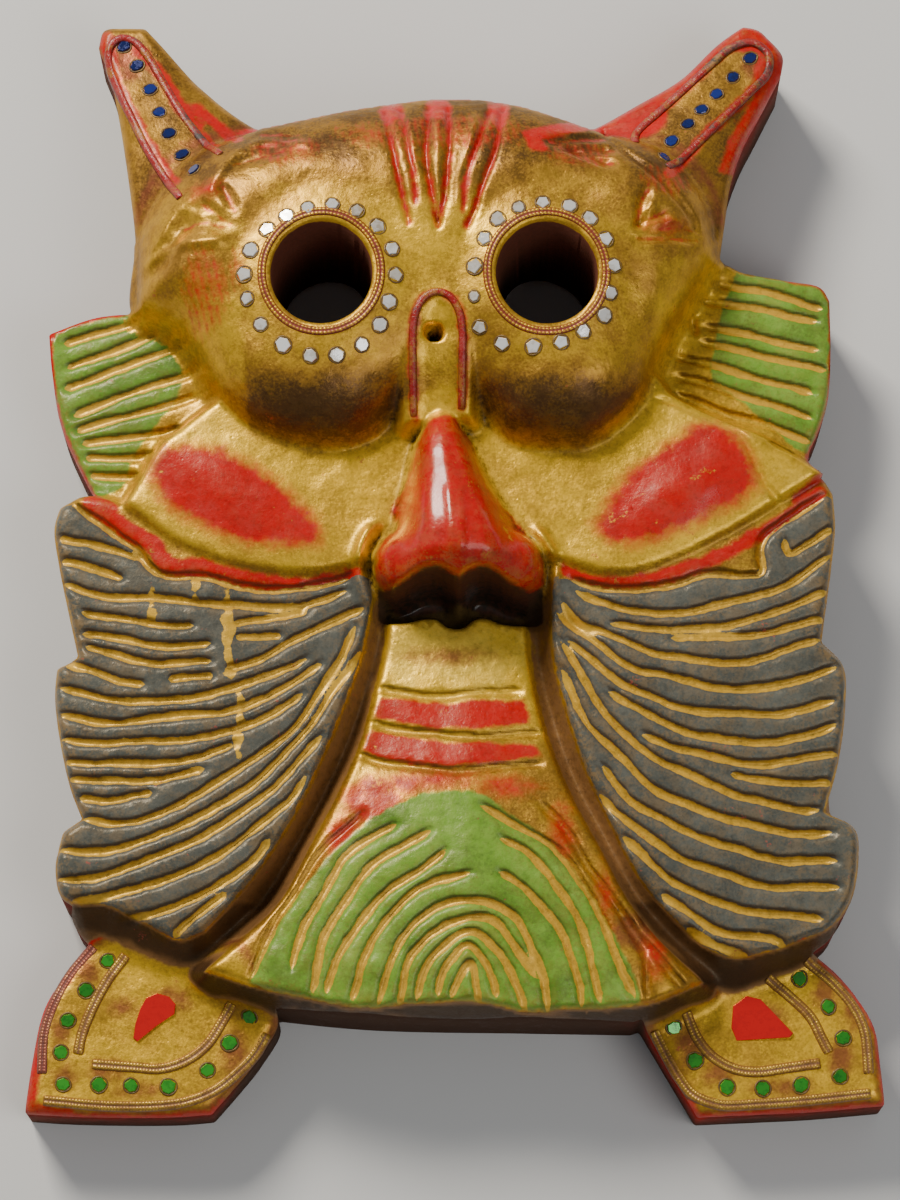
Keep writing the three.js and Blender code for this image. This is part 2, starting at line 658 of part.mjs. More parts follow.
function carve() {
  const forms = [
    backing(), tufts(), leftWing(), rightWing(), cheeks(), beard(), feet(),
    leftEar(), rightEar(), head(), nose(), beakTab(),
  ];
  const block = forms.reduce((whole, form) => whole.add(form));
  const uncut = frontOf(block);
  const long = [...leftWingCuts(), ...rightWingCuts(), ...mouthCuts(), ...tuftCuts()];
  const bent = [...beardCuts(), ...leafCuts(), ...earCuts()];
  const gouges = [
    ...long.map((path) => gouge(uncut, path, LONG_STEP)),
    ...bent.map((path) => gouge(uncut, path, SHORT_STEP)),
  ].filter((cut) => cut !== null);
  const holes = [eyeHole(-1), eyeHole(1), backHollow(), nailHole(), nostril(-1), nostril(1)];
  const tiles = [...eyeTiles(uncut, -1, ...LEFT_TILES), ...eyeTiles(uncut, 1, ...RIGHT_TILES)];
  const cut = [...gouges, ...holes].reduce((whole, cutter) => whole.subtract(cutter), block);
  return tiles.reduce((whole, tile) => whole.add(tile), cut);
}

const body = toGeometry(carve());
addPiece('mask_body', body, WOOD);
addTrim(frontOf(toSolid(body)));

export default mask;
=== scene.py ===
import math

import bpy
import numpy as np
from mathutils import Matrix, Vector


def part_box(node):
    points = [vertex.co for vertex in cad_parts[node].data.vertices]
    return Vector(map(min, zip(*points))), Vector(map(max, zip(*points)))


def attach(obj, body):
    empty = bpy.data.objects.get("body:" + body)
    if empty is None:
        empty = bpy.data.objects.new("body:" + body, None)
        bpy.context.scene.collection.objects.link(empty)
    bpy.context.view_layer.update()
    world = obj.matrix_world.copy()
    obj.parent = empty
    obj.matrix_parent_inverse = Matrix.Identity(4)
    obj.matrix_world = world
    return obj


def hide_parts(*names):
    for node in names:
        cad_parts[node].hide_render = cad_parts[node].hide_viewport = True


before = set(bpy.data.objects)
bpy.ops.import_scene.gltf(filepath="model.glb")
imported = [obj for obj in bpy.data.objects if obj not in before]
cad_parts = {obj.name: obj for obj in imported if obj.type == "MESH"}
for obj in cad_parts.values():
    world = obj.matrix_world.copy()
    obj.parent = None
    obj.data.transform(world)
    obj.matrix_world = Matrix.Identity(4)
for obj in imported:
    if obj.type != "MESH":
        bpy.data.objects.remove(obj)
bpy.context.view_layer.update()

# An owl mask carved from one block of light wood, gilded and painted, set with moulded strips
# and small mirrors. It lies on its back. Sizes here are millimetres in the frame of the part,
# and MM turns them into Blender's metres.

MM = 0.001
BODY_LOW, BODY_HIGH = [[c / MM for c in corner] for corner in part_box("mask_body")]
TOP_LIMIT = BODY_HIGH[2] - 0.05    # nothing carved stands higher than the block
SEED = 7

# Heights of the carved front above the back
BROW = 60.5
LOBE_EDGE = 34.0
CHEEK = 39.5
WING = 36.0
TUFT = 28.0
EAR_ROOT = 46.0
EAR_TIP = 31.0
NOSE_TIP = TOP_LIMIT - 0.3
BEARD_TOP = 31.5
BEARD_FRONT = 43.0
FOOT = 23.0
CHANNEL_FALL = 5
CHANNEL = 26.0
HOLLOW_DEPTH = 13.0

# Eyes
EYES = [(-38.0, 75.5), (26.0, 75.5)]
EYE_HOLE = (14.6, 15.4)
EYE_TAPER = 0.86

# Fineness of the carving
CELL = 0.74            # spacing of the carved grid
BODY_FACES = 196000    # most triangles of the carved body
GROOVE_WIDTH = 1.75    # half width of a gouge cut
GROOVE_DEPTH = 1.8
FAR = 12.0             # distances are not followed further than this

RNG = np.random.default_rng(SEED)


# Curves and distances in the plan

def smooth_path(points, step=1.2):
    """A centripetal curve through the points, sampled every step or so."""
    pts = np.array(points, float)
    if len(pts) == 2:
        count = max(2, int(np.hypot(*(pts[1] - pts[0])) / (4 * step)) + 1)
        return np.linspace(pts[0], pts[1], count)
    first = 2 * pts[0] - pts[1]
    last = 2 * pts[-1] - pts[-2]
    pts = np.vstack([first, pts, last])
    samples = []
    for k in range(1, len(pts) - 2):
        p0, p1, p2, p3 = pts[k - 1:k + 3]
        t1 = math.sqrt(np.hypot(*(p1 - p0)))
        t2 = t1 + math.sqrt(np.hypot(*(p2 - p1)))
        t3 = t2 + math.sqrt(np.hypot(*(p3 - p2)))
        count = max(2, int(np.hypot(*(p2 - p1)) / step))
        t = np.linspace(t1, t2, count, endpoint=False)[:, None]
        a1 = (t1 - t) / t1 * p0 + t / t1 * p1
        a2 = (t2 - t) / (t2 - t1) * p1 + (t - t1) / (t2 - t1) * p2
        a3 = (t3 - t) / (t3 - t2) * p2 + (t - t2) / (t3 - t2) * p3
        b1 = (t2 - t) / t2 * a1 + t / t2 * a2
        b2 = (t3 - t) / (t3 - t1) * a2 + (t - t1) / (t3 - t1) * a3
        samples.append((t2 - t) / (t2 - t1) * b1 + (t - t1) / (t2 - t1) * b2)
    samples.append(pts[-2][None, :])
    return np.vstack(samples)


def outline(*runs):
    """A closed outline through its corners; each run between two corners is one smooth curve."""
    return np.vstack([smooth_path(run)[:-1] for run in runs])


X_LINE = np.arange(BODY_LOW[0] - 2 * CELL, BODY_HIGH[0] + 2.5 * CELL, CELL)
Y_LINE = np.arange(BODY_LOW[1] - 2 * CELL, BODY_HIGH[1] + 2.5 * CELL, CELL)
X, Y = np.meshgrid(X_LINE, Y_LINE)


def window(points, reach):
    """The part of the grid within reach of some points."""
    low = points.min(0) - reach
    high = points.max(0) + reach
    cols = slice(*np.searchsorted(X_LINE, [low[0], high[0]]))
    rows = slice(*np.searchsorted(Y_LINE, [low[1], high[1]]))
    return rows, cols


def segment_distance(px, py, a, b):
    along = b - a
    length = max(float(along @ along), 1e-9)
    share = np.clip(((px - a[0]) * along[0] + (py - a[1]) * along[1]) / length, 0, 1)
    return np.hypot(px - a[0] - share * along[0], py - a[1] - share * along[1]), share


def inside_distance(points, reach=FAR):
    """Distance from the outline at every grid point: positive inside, negative outside."""
    rows, cols = window(points, reach)
    px, py = X[rows, cols], Y[rows, cols]
    nearest = np.full(px.shape, 1e6)
    within = np.zeros(px.shape, bool)
    ends = np.roll(points, -1, axis=0)
    for a, b in zip(points, ends):
        nearest = np.minimum(nearest, segment_distance(px, py, a, b)[0])
        crosses = (a[1] > py) != (b[1] > py)
        if crosses.any():
            level = a[0] + (py - a[1]) * (b[0] - a[0]) / (b[1] - a[1] + 1e-12)
            within ^= crosses & (px < level)
    result = np.full(X.shape, -reach)
    result[rows, cols] = np.where(within, nearest, -np.minimum(nearest, reach))
    return result


def path_distance(points, reach=FAR):
    """Distance from an open curve, and how far along it (0 to 1) the nearest point lies."""
    rows, cols = window(points, reach)
    px, py = X[rows, cols], Y[rows, cols]
    nearest = np.full(px.shape, float(reach))
    along = np.zeros(px.shape)
    count = len(points) - 1
    for k in range(count):
        distance, share = segment_distance(px, py, points[k], points[k + 1])
        closer = distance < nearest
        nearest[closer] = distance[closer]
        along[closer] = (k + share[closer]) / count
    far = np.full(X.shape, float(reach))
    far[rows, cols] = nearest
    where = np.zeros(X.shape)
    where[rows, cols] = along
    return far, where


def smooth_max(a, b, blend=1.0):
    rise = np.maximum(blend - np.abs(a - b), 0) / blend
    return np.maximum(a, b) + rise * rise * blend / 4


def ramp(value, low, high):
    """0 below low, 1 above high, easing between."""
    t = np.clip((value - low) / (high - low), 0, 1)
    return t * t * (3 - 2 * t)


def bump(cx, cy, rx, ry, turn=0.0):
    """A soft round swelling, 1 in its middle."""
    c, s = math.cos(turn), math.sin(turn)
    u = ((X - cx) * c + (Y - cy) * s) / rx
    v = (-(X - cx) * s + (Y - cy) * c) / ry
    return np.exp(-(u * u + v * v))


def soft_noise(cell, seed):
    """Smooth random unevenness between about -1 and 1, with swells about cell across."""
    rng = np.random.default_rng(seed)
    nx = int((X_LINE[-1] - X_LINE[0]) / cell) + 4
    ny = int((Y_LINE[-1] - Y_LINE[0]) / cell) + 4
    knots = rng.uniform(-1, 1, (ny, nx))
    u = (X - X_LINE[0]) / cell
    v = (Y - Y_LINE[0]) / cell
    i, j = u.astype(int), v.astype(int)
    fu, fv = u - i, v - j
    fu, fv = fu * fu * (3 - 2 * fu), fv * fv * (3 - 2 * fv)
    low = knots[j, i] * (1 - fu) + knots[j, i + 1] * fu
    high = knots[j + 1, i] * (1 - fu) + knots[j + 1, i + 1] * fu
    return low * (1 - fv) + high * fv


def blurred(field, radius, times=3):
    """The field averaged over a square of that radius, so many times over."""
    size = max(1, int(round(radius / CELL)))
    for _ in range(times):
        for axis in (0, 1):
            padded = np.pad(field, [(size + 1, size) if a == axis else (0, 0) for a in (0, 1)], mode="edge")
            total = np.cumsum(padded, axis=axis)
            count = field.shape[axis]
            high = np.take(total, range(2 * size + 1, 2 * size + 1 + count), axis=axis)
            low = np.take(total, range(0, count), axis=axis)
            field = (high - low) / (2 * size + 1)
    return field


def form(inside, top, edge_round, wall=4.0):
    """A carved form: its top, rounded over near its outline, with a steep wall outside it."""
    t = np.clip(inside / edge_round, 0, 1)
    drop = edge_round * (1 - np.sqrt(np.maximum(1 - (1 - t) ** 2, 0)))
    return np.where(inside > 0, top - drop, top - edge_round + wall * inside)


# Outlines of the forms, left and right as seen by the viewer

HEAD_EDGE = outline(
    [(42, 125), (18, 133), (-3, 135), (-28, 132), (-57, 126)],
    [(-57, 126), (-78, 116), (-91, 95), (-92, 70)],
    [(-92, 70), (-79, 61), (-68, 43), (-58, 34), (-50, 30.5), (-36, 28), (-24, 31), (-14, 39), (-9, 40.5)],
    [(-9, 40.5), (-4, 44), (1, 42)],
    [(1, 42), (7, 39), (14, 31), (27, 28), (39, 29), (47, 34), (55, 43), (60, 57), (73, 81), (76, 86)],
    [(76, 86), (73, 104), (62, 118), (42, 125)],
)
LEFT_EAR_EDGE = outline(
    [(-91, 159), (-86, 153.5), (-74, 140), (-57, 127), (-30, 118)],
    [(-30, 118), (-50, 70)],
    [(-50, 70), (-92.5, 70), (-92.5, 92), (-94, 105), (-98, 130), (-101, 144), (-104.5, 153)],
    [(-104.5, 153), (-103, 158.5), (-98, 159), (-91, 159)],
)
RIGHT_EAR_EDGE = outline(
    [(20, 118), (42, 128.5), (53, 135), (66, 143), (77, 154), (84.5, 159.5)],
    [(84.5, 159.5), (89, 158.5), (92, 155.5), (96, 150.5), (95.5, 145)],
    [(95.5, 145), (89, 132), (84, 122), (80, 110), (78, 97), (76, 84)],
    [(76, 84), (40, 75)],
    [(40, 75), (20, 118)],
)
CHEEK_EDGE = outline(
    [(-60, 50), (-70, 42.5), (-78, 36), (-85, 30), (-90, 21), (-94.5, 13)],
    [(-94.5, 13), (-85, 5.5), (-78, 1), (-62, -5), (-43, -7.5), (-29, -5)],
    [(-29, -5), (-10, -2), (10, -2), (29, -3)],
    [(29, -3), (41, -7), (53, -6.5), (65, -2), (80, 6), (94, 15), (105, 22)],
    [(105, 22), (98, 27), (88, 33), (76, 38), (62, 46), (56, 55)],
    [(56, 55), (0, 70), (-60, 50)],
)
LEFT_TUFT_EDGE = outline(
    [(-60, 70), (-92, 72), (-104, 71), (-117.5, 66)],
    [(-117.5, 66), (-116.5, 55), (-114, 40), (-109, 28), (-102.5, 15.5)],
    [(-102.5, 15.5), (-92, 10), (-75, 14), (-60, 24), (-60, 70)],
)
RIGHT_TUFT_EDGE = outline(
    [(56, 24), (90, 12), (105.5, 22.5)],
    [(105.5, 22.5), (102, 26), (102, 31), (105, 38), (107.5, 46), (108.5, 60), (108.5, 76)],
    [(108.5, 76), (106, 80), (96, 82), (83, 84.5), (77, 87), (56, 80)],
    [(56, 80), (56, 24)],
)
LEFT_WING_EDGE = outline(
    [(-25, -2), (-62, 0), (-94, 14), (-106, 16.5), (-113, 13)],
    [(-113, 13), (-114.5, 7), (-113, -4), (-110, -18), (-107, -31)],
    [(-107, -31), (-113, -34)],
    [(-113, -34), (-113.5, -42), (-112, -54), (-108.5, -69), (-105, -77.5)],
    [(-105, -77.5), (-110.5, -81)],
    [(-110.5, -81), (-112.5, -91), (-111, -99), (-107, -101.5), (-99, -102), (-88, -107), (-77, -112),
     (-70, -109.5)],
    [(-70, -109.5), (-62, -101), (-54, -91), (-47, -80), (-38, -62), (-30, -42), (-26, -29), (-23, -14)],
    [(-23, -14), (-25, -2)],
)
RIGHT_WING_EDGE = outline(
    [(108, 17), (105, 21), (96, 17), (64, 0), (28, 0)],
    [(28, 0), (27, -26), (31, -46), (37, -65), (43, -78), (51, -94), (62, -107), (70, -114), (78, -117),
     (91, -114.5)],
    [(91, -114.5), (97, -112), (105, -108.5), (111, -101), (113.5, -88), (112.5, -80), (104, -75.5)],
    [(104, -75.5), (108, -62), (110.5, -45), (110, -33), (104, -26.5)],
    [(104, -26.5), (107, -6), (108.5, 7), (108, 17)],
)
BEARD_EDGE = outline(
    [(-20, -8), (-20, -25), (-23, -39), (-27, -55), (-33, -70), (-41, -86), (-49, -101), (-59, -111),
     (-70.5, -121)],
    [(-70.5, -121), (-57, -125.5), (-43, -129), (-25, -132), (-14, -131)],
    [(-14, -131), (7, -130.5), (19, -133), (29, -132.5), (54, -130.5), (69.5, -124)],
    [(69.5, -124), (57, -112), (49, -102), (41, -87), (32, -69), (26, -52), (22, -33), (20, -8)],
    [(20, -8), (-20, -8)],
)
BACKING_EDGE = outline(
    [(-96, 20), (-103, -60), (-107.5, -100), (-108, -105), (-100, -114), (-84, -119), (-60, -129)],
    [(-60, -129), (-25, -132.5), (20, -133.5), (50, -134)],
    [(50, -134), (74, -126), (98, -115.5), (107.5, -107), (106, -80), (96, 20)],
    [(96, 20), (-96, 20)],
)
LEFT_FOOT_EDGE = outline(
    [(-60, -112), (-93, -108), (-103, -111), (-111, -121), (-116, -130), (-119, -145), (-120.8, -158.8)],
    [(-120.8, -158.8), (-108, -159.6), (-79, -159.8), (-68.5, -159)],
    [(-68.5, -159), (-62, -151.5), (-56, -144), (-50, -134), (-50, -131.5)],
    [(-50, -131.5), (-60, -112)],
)
RIGHT_FOOT_EDGE = outline(
    [(51.5, -131.5), (69, -126), (87, -119), (97, -112)],
    [(97, -112), (105, -117), (113, -126), (118, -135), (119.5, -146), (120.5, -156.5)],
    [(120.5, -156.5), (100, -158.3), (86, -159), (68, -159.8)],
    [(68, -159.8), (64, -153), (57, -141), (51.5, -131.5)],
)

# Gouge cuts of the wings, from the outer edge in

LEFT_WING_CUTS = [
    [(-109, 14), (-96, 4), (-90, 0), (-88, -4), (-83, -8), (-71, -8), (-56, -12), (-38, -10), (-30, -8)],
    [(-113, 4), (-102, 1), (-90, -2)],
    [(-112, -3), (-105, -5), (-95, -8)],
    [(-111, -10), (-102, -13), (-77, -15), (-55, -17), (-38, -15), (-31, -12)],
    [(-106, -18), (-96, -20), (-85, -22), (-74, -22)],
    [(-63, -22), (-53, -20), (-42, -18)],
    [(-106, -24), (-96, -26), (-85, -28), (-69, -28)],
    [(-62, -26), (-50, -25)],
    [(-105, -28), (-96, -31), (-86, -33), (-69, -33)],
    [(-65, -35), (-55, -32), (-47, -27), (-38, -23), (-26, -17)],
    [(-110, -33), (-104, -35), (-96, -38), (-88, -39)],
    [(-81, -38), (-69, -37)],
    [(-112, -40), (-101, -43), (-77, -44), (-63, -40), (-47, -35), (-42, -32)],
    [(-112, -48), (-101, -50), (-90, -50), (-74, -48), (-63, -47), (-47, -40), (-38, -33)],
    [(-111, -55), (-101, -56), (-88, -56), (-74, -55), (-63, -53), (-55, -50), (-43, -42)],
    [(-110, -61), (-101, -62), (-85, -62), (-71, -60), (-62, -57)],
    [(-109, -66), (-101, -67), (-87, -67), (-71, -64)],
    [(-106, -72), (-98, -73), (-90, -71), (-85, -70)],
    [(-105, -78), (-95, -79), (-79, -75), (-63, -65), (-48, -54), (-38, -41), (-28, -22)],
    [(-112, -87), (-101, -87), (-90, -85), (-71, -77), (-55, -66), (-42, -52), (-27, -29)],
    [(-112, -95), (-100, -94), (-84, -89), (-63, -78), (-47, -65), (-38, -54)],
    [(-109, -101), (-99, -100), (-81, -95), (-63, -86), (-47, -73), (-42, -66)],
    [(-93, -106), (-84, -104), (-68, -98), (-57, -90), (-52, -84)],
    [(-79, -111), (-75, -107), (-68, -102), (-64, -99)],
]
RIGHT_WING_CUTS = [
    [(33, -9), (49, -12), (63, -10), (71, -7), (82, -8), (87, -7), (87, -2), (88, 3), (98, 11), (106, 16)],
    [(94, 3), (95, -1), (99, 1), (107, 7)],
    [(34, -12), (41, -15), (49, -18), (68, -18), (87, -13), (96, -9), (107, -1)],
    [(44, -22), (55, -23), (75, -23), (85, -20), (96, -16), (106, -12)],
    [(61, -26), (71, -26), (90, -24), (105, -20)],
    [(30, -15), (35, -21), (49, -27), (59, -31), (81, -33), (98, -28), (104, -26)],
    [(29, -18), (40, -27), (49, -34), (59, -37), (81, -41), (90, -40), (108, -34)],
    [(32, -26), (44, -37), (59, -45), (68, -47), (90, -48), (107, -44)],
    [(43, -41), (52, -47), (68, -54), (81, -56), (100, -54), (108, -51)],
    [(53, -54), (67, -59), (81, -62), (90, -62), (108, -59)],
    [(78, -65), (87, -67), (95, -68), (106, -67)],
    [(30, -26), (38, -41), (49, -55), (59, -62), (79, -71), (95, -75), (103, -75)],
    [(30, -35), (38, -51), (49, -63), (58, -71), (68, -75), (88, -81), (106, -82)],
    [(41, -63), (49, -72), (58, -78), (77, -86), (89, -89), (107, -90)],
    [(41, -71), (47, -77), (58, -86), (68, -91), (89, -97), (108, -97)],
    [(47, -83), (54, -90), (67, -99), (84, -104), (103, -106)],
    [(58, -99), (65, -104), (73, -109), (89, -112), (93, -114)],
    [(65, -109), (71, -112), (82, -117)],
]
GOLD_SMEARS = [
    ([(-65, -13), (-64.5, -22), (-64, -36)], 1.9),
    ([(-61, -42), (-61, -51), (-61.5, -60)], 1.2),
    ([(-86, -12), (-86, -21)], 1.1),
    ([(-74, -10), (-74, -14)], 1.6),
]
LEFT_TUFT_CUTS = [
    [(-113, 63), (-91, 70)],
    [(-112, 56), (-86, 66)],
    [(-113, 50), (-78, 62)],
    [(-110, 42), (-73, 55)],
    [(-109, 37), (-74, 47)],
    [(-107, 33), (-79, 37)],
    [(-106, 29), (-86, 29)],
    [(-105, 24), (-91, 23)],
]
RIGHT_TUFT_CUTS = [
    [(76, 81), (91, 78), (106, 74)],
    [(71, 76), (83, 74), (105, 70)],
    [(72, 68), (105, 61)],
    [(71, 63), (107, 55)],
    [(64, 59), (103, 48)],
    [(64, 53), (103, 41)],
    [(62, 47), (102, 34)],
    [(90, 31), (97, 29)],
]
BEARD_CUTS = [
    [(-1, -129), (4, -120), (7, -130)],
    [(-5, -129), (-3, -122), (3, -115), (9, -121), (12, -129)],
    [(-11, -130), (-7, -119), (-1, -113), (4, -111), (12, -117), (17, -126), (20, -133)],
    [(-16, -132), (-12, -117), (-5, -110), (5, -107), (11, -108), (18, -117), (22, -124)],
    [(-22, -131), (-18, -120), (-13, -110), (-3, -103), (5, -102), (17, -107), (23, -120), (26, -133)],
    [(4, -94), (-8, -98), (-18, -106), (-25, -118), (-29, -130)],
    [(12, -94), (18, -98), (29, -110), (34, -124), (35, -131)],
    [(-3, -88), (-10, -94), (-21, -101), (-29, -112), (-35, -123), (-36, -128)],
    [(13, -84), (20, -88), (31, -102), (37, -115), (40, -130)],
    [(-7, -82), (-21, -90), (-29, -99), (-36, -111), (-38, -117), (-40, -128)],
    [(7, -75), (20, -82), (32, -91), (39, -104), (47, -122), (50, -129)],
    [(-17, -80), (-29, -88), (-36, -98), (-44, -114), (-46, -121)],
    [(24, -74), (32, -84), (40, -96), (47, -107), (53, -118), (54, -129)],
    [(-26, -77), (-38, -89), (-47, -103), (-53, -113), (-57, -124)],
    [(52, -107), (63, -119), (68, -125)],
    [(45, -103), (57, -119), (64, -126)],
]
MOUTH_CUTS = [
    [(-21, -40), (-3, -42), (7, -41), (18, -40)],
    [(-23, -50), (-14, -52), (2, -54), (24, -53)],
    [(-27, -59), (-19, -62), (-3, -64), (8, -64), (24, -62)],
]
LEAF_CUTS = [
    [(-21, 128), (-18, 114), (-16, 102), (-13, 90)],
    [(-16, 128), (-14, 117), (-12, 105), (-11.5, 96)],
    [(-8, 128), (-8, 108), (-5, 89)],
    [(-2, 128), (-2, 108), (-5, 89)],
    [(10, 126), (6, 114), (3, 102), (2, 94)],
    [(14, 128), (11, 111), (8, 102), (3, 89)],
]
LEFT_CREASES = [
    [(-77, 90), (-72, 91), (-66, 89)],
    [(-73, 97), (-64, 90)],
    [(-67, 103), (-63, 94)],
    [(-56, 120), (-45, 119)],
    [(-57, 115), (-46, 117)],
    [(-63, 109), (-49, 113)],
]
RIGHT_CREASES = [
    [(27, 116), (43, 119)],
    [(30, 114), (45, 114)],
    [(33, 113), (45, 109)],
    [(52, 90), (53, 97), (55, 101)],
    [(52, 90), (60, 95)],
    [(54, 89), (68, 91)],
    [(52, 86), (69, 88)],
]
CHEEK_CUT = [(58, 44), (70, 39), (80, 34), (85, 27), (88, 20), (92, 14)]
HEAD_FOLDS = [
    ([(-90.5, 79.5), (-84.5, 83), (-79, 84.5), (-64, 85)], 1.7, 1.3),
    ([(-60, 116), (-67, 107), (-70.5, 98)], 2.0, 1.2),
    ([(-60, 115), (-53, 117), (-41, 114.5)], 1.5, 0.8),
]
FOLD_HOLLOW = [(-75, 95), (-80, 88), (-86, 79)]
EAR_SEAM = [(43, 126), (44, 120), (49, 114), (59, 105), (67, 96), (69, 91)]


def eye_distance(eye):
    """Distance outside an eye hole, in the plan; negative inside it."""
    rx, ry = EYE_HOLE
    u, v = (X - eye[0]) / rx, (Y - eye[1]) / ry
    return (np.hypot(u, v) - 1) * (rx + ry) / 2


def by_hand(points):
    """A line with the slight wander of a gouge pushed by hand."""
    x, y = points.T
    aside = 0.3 * np.sin(0.27 * y + 0.11 * x + 1.0) + 0.06 * np.sin(0.9 * y - 0.5 * x)
    up = 0.32 * np.sin(0.23 * x - 0.17 * y) + 0.07 * np.sin(0.83 * x + 0.6 * y)
    return points + np.stack([aside, up], 1)


WINGS = ("left_wing", "right_wing")
FEET = ("left_foot", "right_foot")


class Carving:
    """The whole front as heights over the grid, with what later paints it."""

    def __init__(self):
        self.height = np.full(X.shape, -FAR)
        self.plan = np.full(X.shape, -FAR)
        self.edges = {}
        self.groove = np.zeros(X.shape)
        self.removed = np.zeros(X.shape)
        self.unsteady = 1 + 0.2 * soft_noise(7, 21) + 0.14 * soft_noise(3, 22)

    def add(self, name, edge, top, edge_round, blend=1.0, wall=4.0):
        inside = inside_distance(edge)
        self.edges[name] = inside
        self.plan = np.maximum(self.plan, inside)
        self.height = smooth_max(self.height, form(inside, top, edge_round, wall), blend)

    def cut(self, path, width=GROOVE_WIDTH, depth=GROOVE_DEPTH, taper=0.05, paint=1.0):
        """A V-shaped gouge cut that fades out at its ends."""
        distance, along = path_distance(by_hand(smooth_path(path, 1.5)), 4 * width)
        ends = ramp(np.minimum(along, 1 - along), -taper, taper)
        t = np.clip(1 - distance / (width * self.unsteady), 0, 1)
        profile = t * (1.5 - 0.5 * t) + 0.14 * np.exp(-((distance / (1.7 * width)) ** 2))
        self.height = self.height - ends * depth * profile
        self.removed = np.maximum(self.removed, paint * ends * t)
        self.groove = np.maximum(self.groove, paint * (ends + t - 1))

    def on(self, name, low, high):
        """1 on a form and 0 off it, easing between these distances inside its edge."""
        return ramp(self.edges[name], low, high)

    def off(self, names, low, high):
        """1 outside all the named forms, easing between these distances from their edges."""
        share = 1.0
        for name in names:
            share = share * ramp(-self.edges[name], low, high)
        return share

    def ridge(self, path, width, rise):
        distance, along = path_distance(smooth_path(path, 1.5), width * 2.5)
        ends = ramp(np.minimum(along, 1 - along), -0.05, 0.15)
        self.height = self.height + rise * ends * np.exp(-((distance / width) ** 2))


def ear_top(spine, lean_side):
    """The flat of an ear along its spine, with a broad facet that falls away on its outer side."""
    distance = path_distance(smooth_path(spine, 2.0), 60)[0]
    top = EAR_TIP + (EAR_ROOT + 3 - EAR_TIP) * ramp(160 - Y, 0, 78)
    side = np.sign(lean_side) * (X - np.interp(Y, *spine_line(spine)))
    outer = np.where(side > 0, distance, 0)
    inner = np.where(side <= 0, distance, 0)
    return top - 0.62 * np.maximum(outer - 5.5, 0) - 0.3 * np.maximum(inner - 7.5, 0)


def spine_line(spine):
    points = sorted((y, x) for x, y in spine)
    return [p[0] for p in points], [p[1] for p in points]


def carve_backing(carving):
    outside = np.minimum(-carving.edges["left_wing"], -carving.edges["right_wing"])
    bevel = (30.5 - 0.85 * np.maximum(outside, 0)) * ramp(-Y, 84, 96) * ramp(np.abs(X), 46, 58)
    fall = np.maximum(CHANNEL - CHANNEL_FALL * ramp(-Y, 84, 110), bevel)
    carving.add("backing", BACKING_EDGE, fall, 2.0)


def carve_tufts(carving):
    left = TUFT + 1.5 + 0.06 * (X + 90) + 1.2 * bump(-92, 45, 20, 26)
    right = TUFT + 2.0 - 0.05 * (X - 88) + 1.2 * bump(88, 56, 20, 26)
    carving.add("left_tuft", LEFT_TUFT_EDGE, left, 2.2)
    carving.add("right_tuft", RIGHT_TUFT_EDGE, right, 2.2)


def carve_wings(carving):
    left = WING + 3.2 * bump(-68, -45, 42, 62) - 1.5 * ramp(-Y, 85, 115)
    right = WING + 3.2 * bump(68, -45, 42, 62) - 1.5 * ramp(-Y, 85, 118)
    carving.add("left_wing", LEFT_WING_EDGE, left, 3.0, wall=3.2)
    carving.add("right_wing", RIGHT_WING_EDGE, right, 3.0, wall=3.2)


def carve_cheeks(carving):
    pads = 1.2 * bump(-62, 13, 24, 17, -0.45) + 1.2 * bump(64, 19, 25, 17, 0.45)
    pads = pads + 1.9 * bump(-60, 14, 25, 8, -0.64) + 1.9 * bump(65, 15.5, 24, 8, 0.71)
    pads = pads + 0.7 * bump(-47, 0.5, 9, 6)
    carving.add("cheeks", CHEEK_EDGE, CHEEK + pads, 2.2, wall=3.2)


def carve_beard(carving):
    down = ramp(-Y, 22, 96)
    half = 21 + 48 * ramp(-Y, 40, 140)
    arch = 4.2 * down * np.clip(1 - ((X - 2) / half) ** 2, 0, 1)
    ridge = 0.6 * down * np.exp(-((X - 4) / 4.5) ** 2)
    top = BEARD_TOP + (BEARD_FRONT - 3.6 - BEARD_TOP) * down + arch + ridge
    carving.add("beard", BEARD_EDGE, top - 1.8 * ramp(-Y, 118, 134), 2.6, wall=3.0)


LEFT_EAR_SPINE = [(-97, 154), (-88, 132), (-76, 108), (-66, 92), (-56, 76)]
RIGHT_EAR_SPINE = [(88, 153), (74, 131), (62, 114), (52, 100), (44, 86)]


def carve_ears(carving):
    left = ear_top(LEFT_EAR_SPINE, -1)
    right = ear_top(RIGHT_EAR_SPINE, 1)
    carving.add("left_ear", LEFT_EAR_EDGE, left, 2.0, 3.0)
    carving.add("right_ear", RIGHT_EAR_EDGE, right, 2.0, 3.0)


